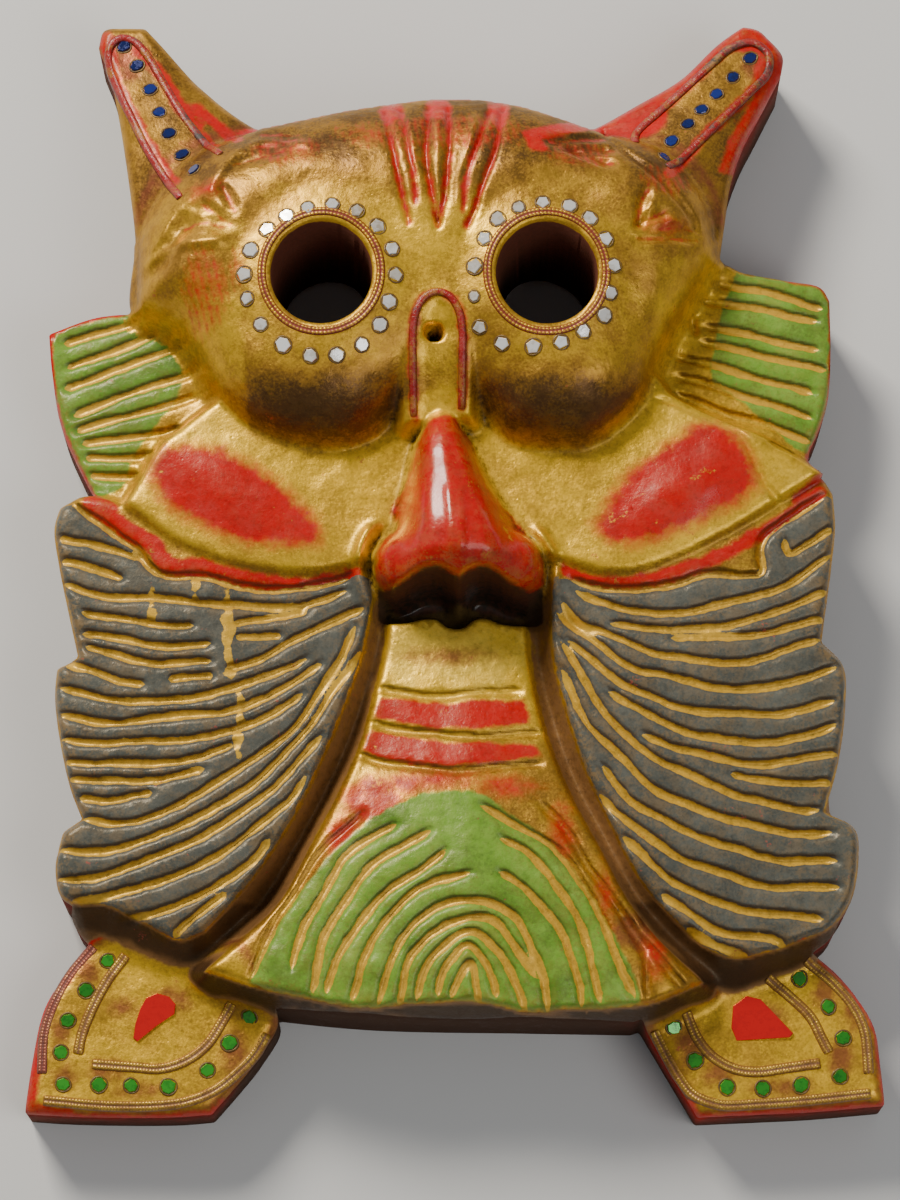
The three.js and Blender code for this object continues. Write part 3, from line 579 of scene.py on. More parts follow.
def carve_head(carving):
    inside = inside_distance(HEAD_EDGE, 40)
    carving.edges["head"] = inside
    carving.plan = np.maximum(carving.plan, inside)
    reach = 24.0 + 6 * ramp(Y, 60, 110)
    t = np.clip(inside / reach, 0, 1)
    dome = LOBE_EDGE + (BROW - 1.5 - LOBE_EDGE) * np.sqrt(np.maximum(1 - (1 - t) ** 2, 0))
    dome = np.where(inside > 0, dome, LOBE_EDGE + 4 * inside)
    dome = dome + 2.0 * bump(-6, 88, 55, 34) - 6.0 * bump(-5, 45, 11, 13)
    dome = dome - 1.6 * bump(-6, 72, 7, 12) + 1.0 * bump(-40, 52, 16, 9) + 1.0 * bump(28, 51, 16, 9)
    for eye in EYES:
        rim = eye_distance(eye)
        dome = dome + 0.5 * np.exp(-((rim - 2.0) / 2.2) ** 2) - 0.9 * np.exp(-((rim - 10.5) / 4.5) ** 2)
    carving.height = smooth_max(carving.height, dome, 3.0)


# The nose from the lip up: place, middle, height of its crest, half width
NOSE_ROWS = np.array([
    (-24, 1, 40, 17), (-15, 1, 52, 21), (-10, 1, 58.5, 23), (-5, 1, NOSE_TIP - 0.6, 23.2),
    (0, 0.5, NOSE_TIP, 21), (5, 0, NOSE_TIP - 0.8, 18.5), (10, -0.8, 60.4, 17), (15, -1.5, 59, 15),
    (20, -2.2, 57.5, 12.8), (25, -3, 55.8, 11), (30, -3.6, 53.6, 9), (35, -4, 50.5, 6.5),
    (41, -4, 46.5, 5), (46, -4, 40, 4),
])
NOSE_TOP = 46
NOSTRIL_WINGS = (-14.0, 16.0)      # their middles


def carve_nose(carving):
    middle, crest, spread = [np.interp(Y, NOSE_ROWS[:, 0], NOSE_ROWS[:, k]) for k in (1, 2, 3)]
    t = np.abs(X - middle) / spread
    floor = CHEEK - 3.5
    nose = crest - (crest - floor) * (0.18 * t + 0.82 * (np.maximum(t - 0.3, 0) / 0.7) ** 2)
    lip_rim = np.interp(X, LIP_RIM[:, 0], LIP_RIM[:, 1])
    nose = np.where((Y > NOSE_TOP) | (Y < lip_rim + 0.4) | (t > 1.15), -FAR, nose)
    carving.height = smooth_max(carving.height, nose, 3.0)
    for x in NOSTRIL_WINGS:
        radius = np.hypot((X - x) / 9.0, (Y + 5.5) / 9.5)
        ala = 40.5 + 12.0 * np.sqrt(np.maximum(1 - radius ** 2, 0))
        ala = np.where(radius < 1, ala, 40.5 - 34 * (radius - 1))
        carving.height = smooth_max(carving.height, ala, 5.0)
    for x in (-1.3, 1.6):
        carving.ridge([(x - 0.6, 14), (x, 2), (x, -8)], 0.8, 0.8)
    carving.ridge([(-9, 30), (-11, 18), (-9, 3)], 3.0, 0.6)


NOSE_RIM = smooth_path([(-23, -11), (-19, -13), (-14, -11.6), (-10, -9.6), (-5, -9), (-1.5, -10.6),
                        (1, -11.6), (3.5, -10.4), (7, -9), (11, -9.8), (16, -12.4), (21, -13), (26, -10)])
LIP_RIM = smooth_path([(-24, -18.6), (-19, -19.2), (-14, -19), (-9, -17.8), (-5, -18), (-2.5, -20.2),
                       (2.5, -20.4), (5, -18.2), (9, -17.6), (12, -19), (17, -19.8), (26, -19.4)])


RECESS_FLOOR = 22.0
RECESS_MIDDLE = 1.5
RECESS_HALF = 24.5       # half its width


def carve_under_nose(carving):
    """The deep shadowed recess between the nose and the lip, with the septum left standing."""
    nose_rim = np.interp(X, NOSE_RIM[:, 0], NOSE_RIM[:, 1])
    lip_rim = np.interp(X, LIP_RIM[:, 0], LIP_RIM[:, 1])
    aside = np.abs(X - RECESS_MIDDLE)
    between = ramp(RECESS_HALF - aside, 0, 2.5)
    septum = 8.0 * np.exp(-((X - 1.2) / 2.6) ** 2) * ramp(Y - lip_rim, 0, 9)
    pocket = RECESS_FLOOR + septum + 6.0 * ramp(Y - nose_rim, -4, 1)
    share = between * ramp(nose_rim - Y, 0.0, 1.5) * ramp(Y - lip_rim, -0.8, 0.3)
    sunk = np.minimum(carving.height, pocket)
    carving.height = carving.height * (1 - share) + sunk * share
    depth = np.minimum(nose_rim - Y + 0.2, Y - lip_rim + 0.4)
    carving.edges["recess"] = np.minimum(depth, RECESS_HALF - 1.0 - aside)


NOSE_FOLDS = [
    [(-22.5, 7), (-26, 2), (-27.5, -5), (-26, -12), (-22, -19)],
    [(22, 6), (26, 1), (28, -6), (27, -12), (24, -19)],
]
NOSE_FOLD_CUTS = [
    [(-20.5, 5), (-23.5, 0), (-24.3, -7), (-22, -14)],
    [(20.5, 4), (24.6, -2), (25.2, -9), (23, -14)],
]


def carve_nose_folds(carving):
    for path in NOSE_FOLDS:
        carving.ridge(path, 1.7, 3.0)
    for path in NOSE_FOLD_CUTS:
        carving.cut(path, 1.5, 2.0, paint=0)


TAB_EDGE = outline(
    [(-15.2, 34), (-15.5, 52), (-15.2, 62), (-13.6, 67.5), (-10, 71.6), (-5, 73.2), (0, 71.6), (3.6, 67.5),
     (5.2, 62), (5.4, 52), (5, 36)],
    [(5, 36), (-15.2, 34)],
)
TAB_PANEL = outline(
    [(-9.6, 36), (-10, 50), (-9.8, 60), (-8.6, 64.2), (-5, 67.4), (-1.4, 64.2), (-0.2, 60), (0, 50),
     (-0.4, 37)],
    [(-0.4, 37), (-9.6, 36)],
)


TAB_FALL = 10.5            # the tab falls this far towards the nose
PANEL_DEPTH = 0.9
NAIL_SPOT = (-6.0, 59)
NAIL_RADIUS = 2.3
NAIL_DEPTH = 14


def carve_beak_tab(carving):
    top = BROW - 4.0 - TAB_FALL * ramp(58 - Y, 0, 26)
    carving.add("tab", TAB_EDGE, top, 1.6, 1.0, 2.2)
    panel = inside_distance(TAB_PANEL)
    carving.edges["panel"] = panel
    carving.height = carving.height - PANEL_DEPTH * ramp(panel, -0.5, 0.6)
    nail = np.hypot(X - NAIL_SPOT[0], Y - NAIL_SPOT[1])
    carving.height = carving.height - NAIL_DEPTH * ramp(NAIL_RADIUS - nail, 0, 0.8)


def carve_feet(carving):
    carving.add("left_foot", LEFT_FOOT_EDGE, FOOT - 0.012 * (Y + 135), 1.3, 0.6)
    carving.add("right_foot", RIGHT_FOOT_EDGE, FOOT - 0.012 * (Y + 135), 1.3, 0.6)


def smooth_channels(carving):
    """Rounds the channels beside the beard, which were cut with a wide gouge."""
    forms = union(carving.edges[name] for name in ("beard", "left_wing", "right_wing", "cheeks"))
    share = ramp(-forms, -1.2, 0.6) * ramp(-Y, 8, 16)
    carving.height = carving.height + share * (blurred(carving.height, 1.6, 2) - carving.height)


# Kinds of cut: paths, then half width, depth, how it fades at its ends, and whether gold lies in it
CUT_KINDS = [
    (LEFT_WING_CUTS + RIGHT_WING_CUTS, GROOVE_WIDTH, GROOVE_DEPTH, 0.05, 1.0),
    (LEFT_TUFT_CUTS + RIGHT_TUFT_CUTS, 1.7, 1.5, 0.05, 1.0),
    (BEARD_CUTS, 1.8, 1.6, 0.05, 1.0),
    (MOUTH_CUTS, 1.6, 1.3, 0.05, 1.0),
    (LEAF_CUTS, 1.35, 1.4, 0.05, 0),
    (LEFT_CREASES, 2.6, 1.2, 0.2, 0),
    (RIGHT_CREASES, 2.1, 1.9, 0.15, 0),
    ([[(68.2, 71), (69, 66)]], 1.4, 1.8, 0.05, 0),
    ([FOLD_HOLLOW], 3.4, 2.4, 0.2, 0),
]
SEAM_CUTS = [(CHEEK_CUT, 1.3, 1.1), (EAR_SEAM, 1.6, 1.5)]
LEAF_RIBS = [(-14.3, 0.16), (-5, 0.0), (6.5, -0.22)]     # where each starts, and how it leans


def carve_cuts(carving):
    for paths, width, depth, taper, paint in CUT_KINDS:
        for path in paths:
            carving.cut(path, width, depth, taper, paint)
    for path, width, rise in HEAD_FOLDS:
        carving.ridge(path, width, rise)
    for path, width, depth in SEAM_CUTS:
        carving.cut(path, width, depth, paint=0)
    for x, lean in LEAF_RIBS:
        carving.ridge([(x - lean * 0.5, 126), (x + lean * 12, 110), (x + lean * 22, 94)], 1.5, 0.9)


def carve_block():
    carving = Carving()
    carve_tufts(carving)
    carve_wings(carving)
    carve_backing(carving)
    carve_cheeks(carving)
    carve_beard(carving)
    carve_feet(carving)
    carve_ears(carving)
    carve_head(carving)
    carve_nose(carving)
    carve_under_nose(carving)
    carve_nose_folds(carving)
    carve_beak_tab(carving)
    carving.height = blurred(carving.height, CELL, 1)
    smooth_channels(carving)
    carve_cuts(carving)
    carving.height += 0.28 * soft_noise(13, 1) + 0.13 * soft_noise(5, 2) + 0.05 * soft_noise(2.2, 3)
    carving.height = np.clip(carving.height, 6, TOP_LIMIT)
    for eye in EYES:
        carving.plan = np.minimum(carving.plan, eye_distance(eye))
    return carving


HOLLOW_EDGE = outline([(72, 70), (0, 112), (-76, 66), (-50, 0), (0, -24), (50, 0), (72, 70)])


def back_heights():
    """The back: flat, with a chiselled dish behind the face."""
    inside = inside_distance(HOLLOW_EDGE, 30)
    dish = HOLLOW_DEPTH * ramp(inside, 0, 26) ** 0.8
    chisel = 0.35 * soft_noise(7, 11) + 0.15 * soft_noise(3, 12)
    return dish + np.where(inside > 0, chisel * ramp(inside, 0, 4), 0)


# The carved block as one closed mesh

def settle_on_edge(plan, x, y):
    """Where points next to the outline land on it."""
    gy, gx = np.gradient(plan, CELL)
    for _ in range(2):
        col = (x - X_LINE[0]) / CELL
        row = (y - Y_LINE[0]) / CELL
        d, dx, dy = sample(plan, col, row), sample(gx, col, row), sample(gy, col, row)
        size = np.maximum(dx * dx + dy * dy, 0.2)
        x, y = x - d * dx / size, y - d * dy / size
    return x, y


def even_border(plan, x, y, border, start, end):
    """Moves the border points onto the outline and spaces them evenly along it."""
    after, before = np.arange(len(x)), np.arange(len(x))
    after[start], before[end] = end, start
    x[border], y[border] = settle_on_edge(plan, x[border], y[border])
    for _ in range(5):
        middle_x = 0.5 * x[border] + 0.25 * (x[after[border]] + x[before[border]])
        middle_y = 0.5 * y[border] + 0.25 * (y[after[border]] + y[before[border]])
        x[border], y[border] = settle_on_edge(plan, middle_x, middle_y)


def sample(field, col, row):
    """Values of a grid field between its points."""
    i = np.clip(np.floor(col).astype(int), 0, field.shape[1] - 2)
    j = np.clip(np.floor(row).astype(int), 0, field.shape[0] - 2)
    u, v = np.clip(col - i, 0, 1), np.clip(row - j, 0, 1)
    low = field[j, i] * (1 - u) + field[j, i + 1] * u
    high = field[j + 1, i] * (1 - u) + field[j + 1, i + 1] * u
    return low * (1 - v) + high * v


def sample_at(field, x, y):
    return sample(field, (x - X_LINE[0]) / CELL, (y - Y_LINE[0]) / CELL)


def edge_loop_sides(filled):
    """The cell sides that lie on the border of the filled cells, each with the block on its left."""
    padded = np.pad(filled, 1)
    core = padded[1:-1, 1:-1]
    neighbours = [
        (padded[:-2, 1:-1], (0, 0), (0, 1)),
        (padded[1:-1, 2:], (0, 1), (1, 1)),
        (padded[2:, 1:-1], (1, 1), (1, 0)),
        (padded[1:-1, :-2], (1, 0), (0, 0)),
    ]
    sides = []
    for neighbour, (j0, i0), (j1, i1) in neighbours:
        j, i = np.nonzero(core & ~neighbour)
        sides.append(np.stack([j + j0, i + i0, j + j1, i + i1], 1))
    return np.vstack(sides)


def drop_pinches(filled):
    """Fills cells so that no two filled cells meet only at a corner."""
    while True:
        a, b = filled[:-1, :-1], filled[1:, 1:]
        c, d = filled[:-1, 1:], filled[1:, :-1]
        first = a & b & ~c & ~d
        second = c & d & ~a & ~b
        if not first.any() and not second.any():
            return filled
        filled[:-1, 1:] |= first
        filled[:-1, :-1] |= second


WALL_ROWS = 6          # bands of faces between front and back


def block_mesh(carving, back):
    """Front, back and walls from the cells of the grid that lie inside the outline."""
    plan = carving.plan
    centre = (plan[:-1, :-1] + plan[1:, :-1] + plan[:-1, 1:] + plan[1:, 1:]) / 4
    filled = drop_pinches(centre > 0)
    j, i = np.nonzero(filled)
    used = np.zeros(X.shape, bool)
    for dj in (0, 1):
        for di in (0, 1):
            used[j + dj, i + di] = True
    index = np.full(X.shape, -1)
    index[used] = np.arange(used.sum())
    jj, ii = np.nonzero(used)
    x, y = X[jj, ii].copy(), Y[jj, ii].copy()
    sides = edge_loop_sides(filled)
    start, end = index[sides[:, 0], sides[:, 1]], index[sides[:, 2], sides[:, 3]]
    border = np.unique(np.concatenate([start, end]))
    even_border(plan, x, y, border, start, end)
    top = sample_at(carving.height, x, y)
    count = len(x)
    back_x, back_y = x.copy(), y.copy()
    for eye in EYES:
        dx, dy = back_x - eye[0], back_y - eye[1]
        radius = np.hypot(dx / EYE_HOLE[0], dy / EYE_HOLE[1])
        pull = 1 - (1 - EYE_TAPER) * (1 - ramp(radius, 1.0, 1.9))
        back_x, back_y = eye[0] + dx * pull, eye[1] + dy * pull
    low = sample_at(back, back_x, back_y)
    points = [np.stack([x, y, top], 1), np.stack([back_x, back_y, low], 1)]
    corners = [index[j, i], index[j, i + 1], index[j + 1, i + 1], index[j + 1, i]]
    front = np.stack(corners, 1)
    rear = front[:, ::-1] + count
    place = np.full(count, -1)
    place[border] = np.arange(len(border))
    levels = [border]
    offset = 2 * count
    for row in range(1, WALL_ROWS):
        t = row / WALL_ROWS
        points.append(points[0][border] * (1 - t) + points[1][border] * t)
        levels.append(np.arange(len(border)) + offset)
        offset += len(border)
    levels.append(border + count)
    faces = [front, rear]
    for upper, lower in zip(levels, levels[1:]):
        at_end, at_start = place[end], place[start]
        faces.append(np.stack([upper[at_end], upper[at_start], lower[at_start], lower[at_end]], 1))
    return np.vstack(points), np.vstack(faces)


def quick_mesh(name, points, faces):
    """A mesh from arrays of points, in millimetres, and of faces with the same number of corners."""
    mesh = bpy.data.meshes.new(name)
    sides = faces.shape[1]
    mesh.vertices.add(len(points))
    mesh.vertices.foreach_set("co", (np.asarray(points, np.float32) * MM).ravel())
    mesh.loops.add(len(faces) * sides)
    mesh.loops.foreach_set("vertex_index", np.asarray(faces, np.int32).ravel())
    mesh.polygons.add(len(faces))
    mesh.polygons.foreach_set("loop_start", np.arange(0, len(faces) * sides, sides, dtype=np.int32))
    mesh.polygons.foreach_set("use_smooth", np.ones(len(faces), bool))
    mesh.update(calc_edges=True)
    mesh.validate()
    return mesh


def place_object(name, mesh):
    piece = bpy.data.objects.new(name, mesh)
    bpy.context.scene.collection.objects.link(piece)
    return piece


def thin_out(piece, most_triangles):
    """Merges faces where the surface is flat until the piece has at most so many triangles."""
    triangles = sum(len(p.vertices) - 2 for p in piece.data.polygons)
    decimate = piece.modifiers.new("thin", "DECIMATE")
    decimate.ratio = min(1.0, most_triangles / triangles)
    bpy.context.view_layer.objects.active = piece
    with bpy.context.temp_override(object=piece, active_object=piece, selected_objects=[piece]):
        bpy.ops.object.modifier_apply(modifier=decimate.name)
    piece.data.polygons.foreach_set("use_smooth", np.ones(len(piece.data.polygons), bool))


def build_body(carving, back):
    points, faces = block_mesh(carving, back)
    piece = place_object("carved_body", quick_mesh("carved_body", points, faces))
    thin_out(piece, BODY_FACES)
    return piece


# Where the colours lie. Each field is a distance in millimetres, positive where there is paint.

BLUSH_LEFT = outline([(-83, 31), (-69, 31), (-55, 24), (-44, 15), (-37, 6), (-37, 0), (-44, -2),
                      (-58, -1), (-70, 3), (-83, 11), (-88, 18), (-88, 26), (-83, 31)])
BLUSH_RIGHT = outline([(37, 7), (47, 21), (59, 31), (70, 38), (77, 37), (84, 31), (88, 21),
                       (86, 15), (76, 9), (64, 3), (53, -1), (42, 0), (37, 7)])
NOSE_RED = outline([(-7, 36), (-10, 30), (-12, 24), (-14, 18), (-18, 10), (-16, 5), (-20, 2),
                    (-22.5, -5), (-21, -12), (-16, -16), (1, -14), (17, -17), (23, -13), (25.5, -6),
                    (22, 1), (17, 8), (10, 14), (7, 21), (5, 29), (0, 36), (-7, 36)])
GREEN_FAN = outline([(-9, -71), (6, -71), (15, -77), (24, -83), (33, -93), (40, -104), (45, -113),
                     (50, -124), (52, -136), (0, -140), (-58, -134), (-57, -122), (-51, -111),
                     (-46, -103), (-41, -96), (-36, -90), (-30, -84), (-23, -78), (-9, -71)])
MOUTH_BANDS = [
    [(-21, -43), (-3, -45), (7, -44), (20, -43), (22, -50), (4, -51.5), (-14, -49.5), (-22, -47.5)],
    [(-23, -53), (-14, -55), (2, -57), (23, -56), (25, -60), (8, -62), (-3, -62), (-19, -60), (-26, -57)],
]
LEAF_TOPS = [(-18.5, 127, 3.0, 6.5), (-5, 128, 3.4, 6), (12.5, 127, 3.2, 7)]
RED_DRY_BRUSHED = [
    (-48, 113, 12, 6), (36, 112, 12, 6), (-71, 71, 8, 14), (-62, 76, 4, 8), (-4, 118, 34, 7),
    (60, 105, 8, 6),
]
RED_BRUSHED = [
    (-23, -73, 10, 9), (-31, -84, 7, 9), (14, -69, 12, 5), (30, -82, 5, 12), (-14, -68, 10, 5),
    (56, -116, 5, 10), (-5, -67, 26, 4), (-34, -96, 5, 10), (42, -100, 4, 12),
    (-71, 101, 7, 4), (60, 91, 8, 4),
]
GREEN_LEFT = outline([(-119, 64), (-108, 73), (-98, 73.5), (-90, 69), (-83, 62), (-79, 54), (-80, 47),
                      (-86, 38), (-92, 30), (-96, 20), (-106, 18), (-119, 64)])
GREEN_RIGHT = outline([(83, 88), (110, 80), (110, 50), (104, 32), (99, 31), (90, 39), (80, 47),
                       (74, 53), (75, 62), (78, 75), (83, 88)])


STAINS = [
    (-98, -147, 7, 3.5), (-111, -137, 3, 7), (-110, -149, 4, 4), (-62, -141, 4, 6), (-80, -127, 6, 4),
    (-93, -129, 4, 3), (-104, -119, 4, 5), (-88, -153, 9, 2.5), (66, -140, 4, 6), (92, -152, 9, 3),
    (108, -144, 4, 6), (104, -125, 4, 5), (88, -132, 5, 4), (74, -148, 5, 4), (112, -131, 3, 6),
    (-96, 147, 4, 6), (88, 147, 4, 5), (-2, -30, 12, 3), (8, -46, 9, 2), (-44, -112, 7, 5),
    (50, -110, 7, 6),
]


def union(fields):
    return np.maximum.reduce(list(fields))


def blob(cx, cy, rx, ry):
    """Distance inside a soft oval patch of brushed colour."""
    return (1 - np.hypot((X - cx) / rx, (Y - cy) / ry)) * min(rx, ry)


def near(paths, reach):
    """Distance inside the bands that lie within reach of the curves."""
    return union(reach - path_distance(smooth_path(path, 1.5))[0] for path in paths)


def rim(inside, width):
    """Distance inside the band along the edge of a form."""
    return np.minimum(width - inside, inside + 1.5)


def ear_red(carving):
    """Red lacquer on the ears, outside the gilded strip of mirrors."""
    left = np.minimum(carving.edges["left_ear"], 40)
    right = np.minimum(carving.edges["right_ear"], 40)
    left_field = near([[(-69, 118), (-82, 139), (-91, 151), (-97, 155), (-101, 151), (-97, 139),
                        (-91, 126), (-80, 106)]], 1.0)
    left_slope = np.minimum(near([[(-93, 152), (-86, 144), (-80, 133), (-77, 129)],
                                  [(-75, 133), (-69, 127), (-63, 120)]], 1.9), left)
    left_outer = np.minimum(blob(-102, 146, 3.5, 12), left)
    right_field = near([[(52, 122), (59, 131), (72, 144), (81, 153), (88, 154), (92, 148), (86, 138),
                         (71, 121), (61, 107)]], 1.5)
    right_slope = np.minimum(np.minimum(4.0 - right, right + 1), Y - 112)
    right_inner = np.minimum(blob(53, 130, 9, 8), right)
    right_tip = np.minimum(Y - 151, right)
    right_side = np.minimum(blob(91, 134, 4.5, 18), right)
    return union([left_field, left_slope, left_outer, right_field, right_slope, right_inner, right_tip,
                  right_side])


def cheek_borders(carving):
    """The red line between the cheeks and the first gouge cut of each wing."""
    outside = -carving.edges["cheeks"]
    left = np.minimum(outside - 0.6, 2.6 - path_distance(smooth_path([
        (-104, 14), (-94, 6), (-86, 1), (-82, -4.5), (-71, -5.5), (-56, -9), (-38, -8.5), (-29, -7)]))[0])
    right = np.minimum(outside - 0.6, 2.2 - path_distance(smooth_path([
        (32, -6), (45, -9), (60, -7.5), (72, -3.5), (84, 3), (94, 9), (104, 17)]))[0])
    return np.maximum(left, right)


def blush_field():
    """Red dabbed on softly: the two cheeks, the brow and faded strokes below the mouth."""
    cheeks = union([inside_distance(BLUSH_LEFT), inside_distance(BLUSH_RIGHT)])
    strokes = union(blob(*patch) for patch in RED_BRUSHED) - 0.8
    strokes = np.minimum(strokes, 3.4)
    dry = union(blob(*patch) for patch in RED_DRY_BRUSHED)
    bristles = np.abs(np.sin(1.5 * X + 0.35 * Y + 1.2 * soft_noise(9, 31)))
    dry = np.minimum(dry, 2.3 + 0.6 * ramp(90 - Y, 0, 5)) - 2.6 * bristles
    return np.maximum(np.maximum(cheeks, strokes), dry)


def red_field(carving):
    nose = inside_distance(NOSE_RED)
    bands = union(inside_distance(np.array(band, float)) for band in MOUTH_BANDS) + 0.9
    bands = np.minimum(bands, carving.edges["beard"] - 1.6) - 1.3 * ramp(X, 6, 22) + 0.5 * soft_noise(5, 41)
    leaf_tops = union(blob(*patch) for patch in LEAF_TOPS)
    leaves = np.maximum(near(LEAF_CUTS, 1.0) - 0.1, leaf_tops)
    creases = near(LEFT_CREASES + RIGHT_CREASES, 0.9) - 0.7
    crown = np.minimum(rim(carving.edges["head"], 2.0), Y - 124)
    tufts = union([rim(carving.edges["left_tuft"], 1.6), rim(carving.edges["right_tuft"], 0.8)])
    tufts = np.minimum(tufts, np.abs(X) - 96)
    feet = union([rim(carving.edges["left_foot"], 0.9), rim(carving.edges["right_foot"], 0.9)])
    feet = np.minimum(feet, np.maximum(-155 - Y, np.abs(X) - 96))
    outer_edge = rim(carving.edges["left_foot"], 2.6) + 0.8 * soft_noise(4, 42)
    feet = np.maximum(feet, np.minimum(outer_edge, -107 - X))
    tab = near([[(-11.5, 36), (-12, 59), (-10, 67), (-5, 70), (0, 67), (2, 59), (2, 39)]], 1.3)
    return union([nose, bands, leaves, creases, crown, tufts, feet, tab, ear_red(carving),
                  cheek_borders(carving)])


def green_field(carving):
    """Green on both tufts and on the fan under the mouth."""
    left = np.minimum(inside_distance(GREEN_LEFT), carving.edges["left_tuft"] - 0.7)
    right = np.minimum(inside_distance(GREEN_RIGHT), carving.edges["right_tuft"] - 0.5)
    off_face = 1.6 * soft_noise(3, 45) - 2.6 - carving.edges["head"]
    off_cheek = -carving.edges["cheeks"] - 1.5
    tufts = np.minimum(np.maximum(left, right), np.minimum(off_face, off_cheek))
    fan = np.minimum(inside_distance(GREEN_FAN), carving.edges["beard"] - 0.6)
    return np.maximum(tufts, fan)


def black_field(carving):
    """Black on the wings, up to their first gouge cut."""
    left_border = path_distance(smooth_path(LEFT_WING_CUTS[0]))[0]
    right_border = path_distance(smooth_path(RIGHT_WING_CUTS[0]))[0]
    left_low = np.interp(X, [-113, -109, -96, -90, -88, -83, -71, -56, -38, -28],
                         [15, 13, 4, 0, -4, -8, -8, -12, -10, -8]) - Y
    right_low = np.interp(X, [28, 33, 49, 63, 71, 82, 86, 88, 98, 106],
                          [-8, -9, -12, -10, -7, -8, -7, 3, 11, 16]) - Y
    left = np.minimum(carving.edges["left_wing"] - 0.5, np.where(left_low > 0, left_border, -left_border))
    right = np.where(right_low > 0, right_border, -right_border)
    return np.maximum(left, np.minimum(carving.edges["right_wing"] - 0.5, right))


def tone_field(carving):
    """How bright the gilding is: fresh on the cheeks, lip and feet, browned on crown and lobes.
    Painted shade darkens the lower lobes, the channels, below the wings and under the beard; painted light
    brightens the lip.
    """
    tone = np.full(X.shape, 0.45)
    tone = tone + 0.35 * carving.on("cheeks", 0, 2) * carving.off(["head"], -1, 1)
    tone = tone + 0.35 * carving.on("beard", 0, 2) * ramp(Y, -75, -40)
    tone = tone + 0.25 * carving.on("left_foot", 0, 3) + 0.25 * carving.on("right_foot", 0, 3)
    head = carving.on("head", 0, 4)
    # The lower lobes: browned patina, and painted shade where they turn under
    tone = tone - head * (0.02 + 0.46 * ramp(52 - Y, 0, 14) + 0.12 * ramp(Y, 96, 125))
    tone = tone + 0.2 * bump(-38, 74, 27, 24) + 0.2 * bump(26, 74, 27, 24)
    tone = tone + 0.2 * carving.on("panel", -1, 1)
    tone = tone + 0.2 * carving.on("left_tuft", 0, 2) + 0.2 * carving.on("right_tuft", 0, 2)
    tone = tone - 0.16 * head * ramp(Y, 92, 112)
    # Painted light on the lip, where the nose's shadow falls; brighter too between the eyes
    tone = tone + 0.7 * bump(-1, -28, 24, 15) + 0.3 * bump(-8, 84, 22, 14)
    ears = np.maximum(carving.edges["left_ear"], carving.edges["right_ear"])
    tone = tone - 0.17 * ramp(ears, 0, 1) * carving.off(["head"], -2, 1)
    # Painted shade: darker in the channels beside the beard, below the wings and under the beard's ledge
    channel = carving.off(["beard"], -0.5, 2) * carving.off(WINGS, -0.5, 1.5)
    channel = channel * ramp(-Y, 8, 14) * ramp(70 - np.abs(X), 0, 8)
    below = ramp(-Y, 88, 100) * carving.off(WINGS, -0.5, 1.5)
    below = below * carving.off(["beard"], -0.5, 2) * carving.off(FEET, 0, 1.5)
    ledge = carving.off(["beard"], -0.3, 0.7) * ramp(-Y, 118, 126)
    ledge = ledge * ramp(66 - np.abs(X), 0, 4) * carving.off(FEET, 0, 1.5)
    return tone - 0.2 * channel - 0.3 * below - ledge


def stain_and_shade_field(carving):
    """Brown stain in the channels beside the beard, darkened lower down by painted shade, which is nearly
    black under the wings and the beard.
    """
    wings = np.maximum(carving.edges["left_wing"], carving.edges["right_wing"])
    under_wing = ramp(wings + 1.6 * soft_noise(8, 43), -8.5, -4.5) * ramp(-Y, 96, 102)
    under_beard = ramp(carving.edges["beard"] + soft_noise(6, 44), -5.0, -2.5) * ramp(-Y, 112, 118)
    shadow = np.maximum(under_wing, under_beard)
    off_feet = np.maximum(carving.off(FEET, 0, 1.0), shadow)
    low = carving.off(WINGS, -0.6, 0.3) * carving.off(["beard"], -0.4, 0.4) * off_feet
    low = low * ramp(-Y, 10, 16) * carving.off(["cheeks"], 0, 1)
    # The stain's share, deepened lower down and under the wings and beard by painted shade
    deep = 0.45 + 0.25 * ramp(-Y, 78, 104) + 0.3 * ramp(-Y, 112, 122)
    return low * np.maximum(deep, 0.9 * shadow) * ramp(0.6 + carving.plan, 0, 0.4)


def smear_field():
    """Gold paint wiped across the black of the left wing, over no cut."""
    smears = union(near([path], width) for path, width in GOLD_SMEARS)
    return smears + 1.3 * soft_noise(2.6, 51) - 0.4


def stain_field(carving):
    """Reddish brown stains round the mirrors of the feet and along the seams of the head."""
    spots = union(blob(*patch) for patch in STAINS)
    feet = np.maximum(carving.edges["left_foot"], carving.edges["right_foot"])
    edge = np.minimum(2.4 - feet, feet + 1)
    seams = 2.0 - np.abs(carving.edges["head"] + 1.5)
    seams = np.minimum(seams, Y - 96)
    return np.minimum(np.maximum(np.maximum(spots, edge), seams), 2.5)


def dirt_and_shade_kept(carving):
    """How much of the dirt and painted shade stays in the hollows: less in the channels, on the lip and on
    the tufts.
    """
    tufts = ramp(np.maximum(carving.edges["left_tuft"], carving.edges["right_tuft"]), 0, 2)
    lip = bump(0, -22, 20, 6)
    channels = ramp(stain_and_shade_field(carving), 0.1, 0.4)
    return 1 - np.clip(0.65 * tufts + 0.8 * lip + 0.55 * channels, 0, 0.85)


